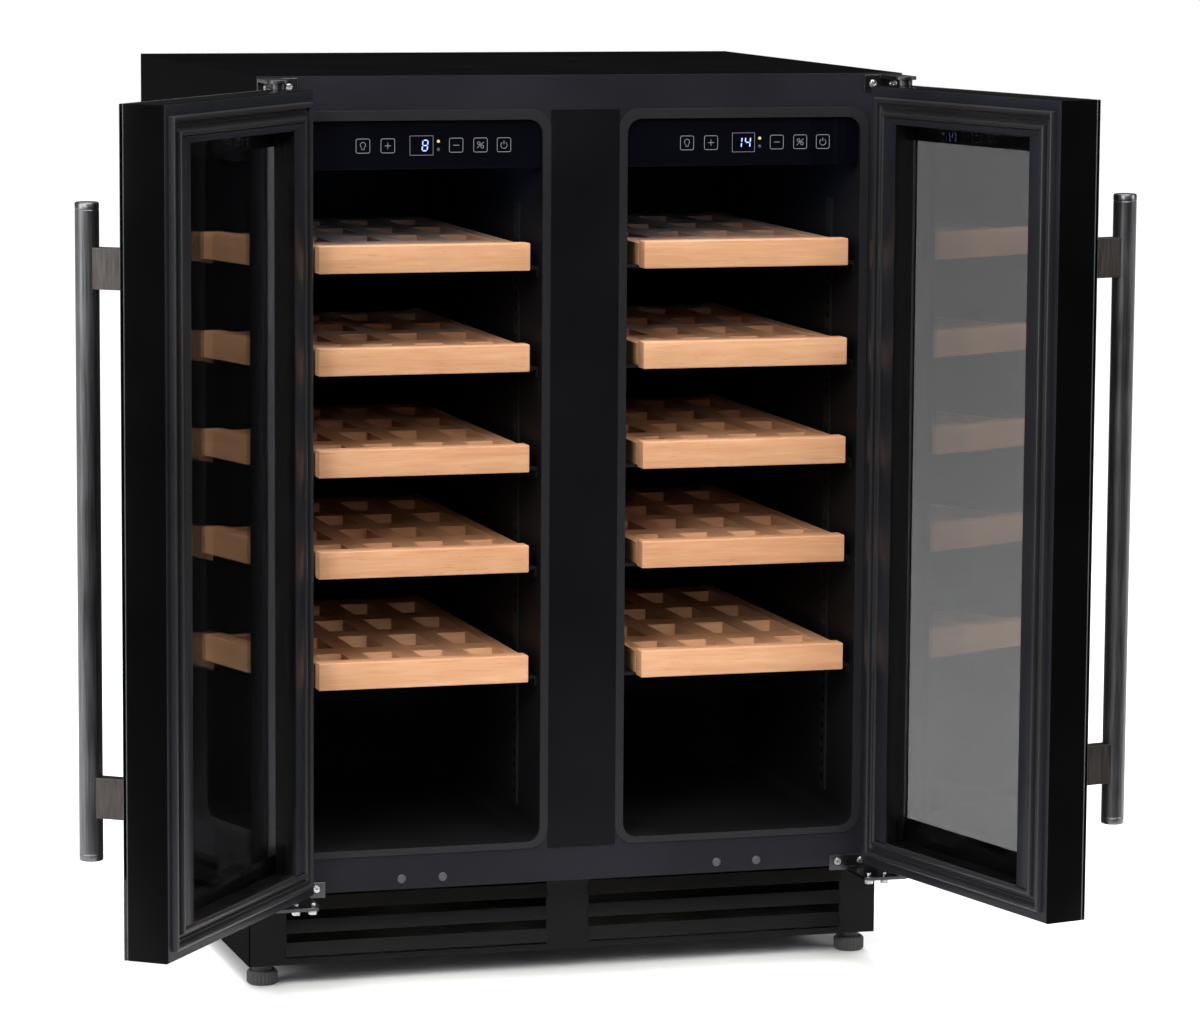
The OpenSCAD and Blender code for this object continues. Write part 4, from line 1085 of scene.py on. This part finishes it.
# %% Draw both panels
KEYS = [(-53, "light"), (-30.5, "plus"), (31.5, "minus"), (53.7, "mode"), (75.2, "power")]
for side, numbers in (("left", ["8"]), ("right", ["1", "4"])):
    low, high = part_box(f"control_panel_{side}")
    middle, face, line_z = (low.x + high.x) / 2, low.y, high.z - 22 * MM
    to_panel = Matrix.Translation((middle, face, line_z)) @ Matrix.Scale(MM, 4)
    on_face = lambda lines: [([(x, 0, z) for x, z in points], closed) for points, closed in lines]
    keys = []
    for at, kind in KEYS:
        keys += [key_frame(at, 0)] + key_signs(at, 0, kind)
    box_line = [([(-10.5, -8.5), (10.5, -8.5), (10.5, 8.5), (-10.5, 8.5)], True)]
    strokes(f"{side}_keys", on_face(keys + box_line), 0.2, key_light, "cabinet", to_panel)
    shown = []
    for i, number in enumerate(numbers):
        shown += digit(3.2 if len(numbers) == 1 else -4 + 8 * i, 0, number)
    strokes(f"{side}_number", on_face(shown), 0.55, digit_light, "cabinet", to_panel)
    for name, z, lamp in (("upper", 3.6, lamp_on), ("lower", -3.6, lamp_off)):
        strokes(
            f"{side}_{name}_indicator", on_face([(arc(15.3, z, 0.9, 0, 330, 11), True)]), 0.5, lamp, "cabinet",
            to_panel,
        )
    print(side, "panel shows", "".join(numbers))

# %% [markdown]
# ## Floor and light
# The cooler stands on a plain pale floor. Five soft lights reach it: a main one from the front
# left, a fill from the front, one from above, and two small ones at the sides that pick out the
# handles and the door edges. A wide sun lamp lights the floor. The sky is white where the camera
# sees it, directly or through the glass, and dim where it would be mirrored in the black paint,
# as in a studio with dark walls.

# %% Floor
floor_shape = bmesh.new()
bmesh.ops.create_grid(floor_shape, x_segments=1, y_segments=1, size=1)
FLOOR_FRONT, FLOOR_BACK, FLOOR_HALF = -1.15, 14, 12
for v in floor_shape.verts:
    v.co = (v.co.x * FLOOR_HALF, FLOOR_FRONT if v.co.y < 0 else FLOOR_BACK, cad_box[0][2])
floor_mesh = bpy.data.meshes.new("floor")
floor_shape.to_mesh(floor_mesh)
floor_finish = Finish("floor", Specular_IOR_Level=0.0, Roughness=1.0)
floor_finish.feed(Base_Color=floor_finish.mix(floor_finish.noise(2), (0.86, 0.86, 0.86), (0.88, 0.88, 0.88)))
floor_mesh.materials.append(floor_finish.material)
floor = bpy.data.objects.new("floor", floor_mesh)
scene.collection.objects.link(floor)

# %% Sky and lamps
world = bpy.data.worlds.new("studio")
scene.world = world
world.use_nodes = True
sky_nodes, sky_links = world.node_tree.nodes, world.node_tree.links
sky_nodes.clear()
path = sky_nodes.new("ShaderNodeLightPath")
seen = sky_nodes.new("ShaderNodeMath")
seen.operation = "MAXIMUM"
sky_links.new(path.outputs["Is Camera Ray"], seen.inputs[0])
sky_links.new(path.outputs["Is Transmission Ray"], seen.inputs[1])
dim, white = sky_nodes.new("ShaderNodeBackground"), sky_nodes.new("ShaderNodeBackground")
dim.inputs["Color"].default_value, dim.inputs["Strength"].default_value = (1, 0.99, 0.98, 1), 0.035
white.inputs["Color"].default_value, white.inputs["Strength"].default_value = (1, 1, 1, 1), 1.0
choose = sky_nodes.new("ShaderNodeMixShader")
sky_links.new(seen.outputs[0], choose.inputs[0])
sky_links.new(dim.outputs[0], choose.inputs[1])
sky_links.new(white.outputs[0], choose.inputs[2])
sky_links.new(choose.outputs[0], sky_nodes.new("ShaderNodeOutputWorld").inputs["Surface"])


def softbox(name, place, target, size, watts):
    data = bpy.data.lights.new(name, "AREA")
    data.shape, data.size, data.energy = "DISK", size, watts
    lamp = bpy.data.objects.new(name, data)
    lamp.location = place
    lamp.rotation_euler = (Vector(target) - Vector(place)).to_track_quat("-Z", "Y").to_euler()
    scene.collection.objects.link(lamp)


middle = Vector(((cad_box[0][0] + cad_box[1][0]) / 2, (cad_box[0][1] + cad_box[1][1]) / 2, 0.4))
softbox("main_light", (-2.6, -4.2, 2.4), middle, 1.8, 150)
softbox("fill_light", (0.6, -3.8, 3.6), middle, 2.2, 120)
softbox("top_light", (0, -0.6, 3.4), middle, 2.4, 80)
softbox("left_light", (-3.2, -1.6, 1.3), middle, 1.2, 60)
softbox("right_light", (3.4, -2.2, 1.5), middle, 1.0, 45)
sun = bpy.data.lights.new("ceiling_light", "SUN")
sun.energy, sun.angle = 3.8, 1.3
sun_lamp = bpy.data.objects.new("ceiling_light", sun)
scene.collection.objects.link(sun_lamp)
scene.view_settings.view_transform = "Standard"
print("studio ready")
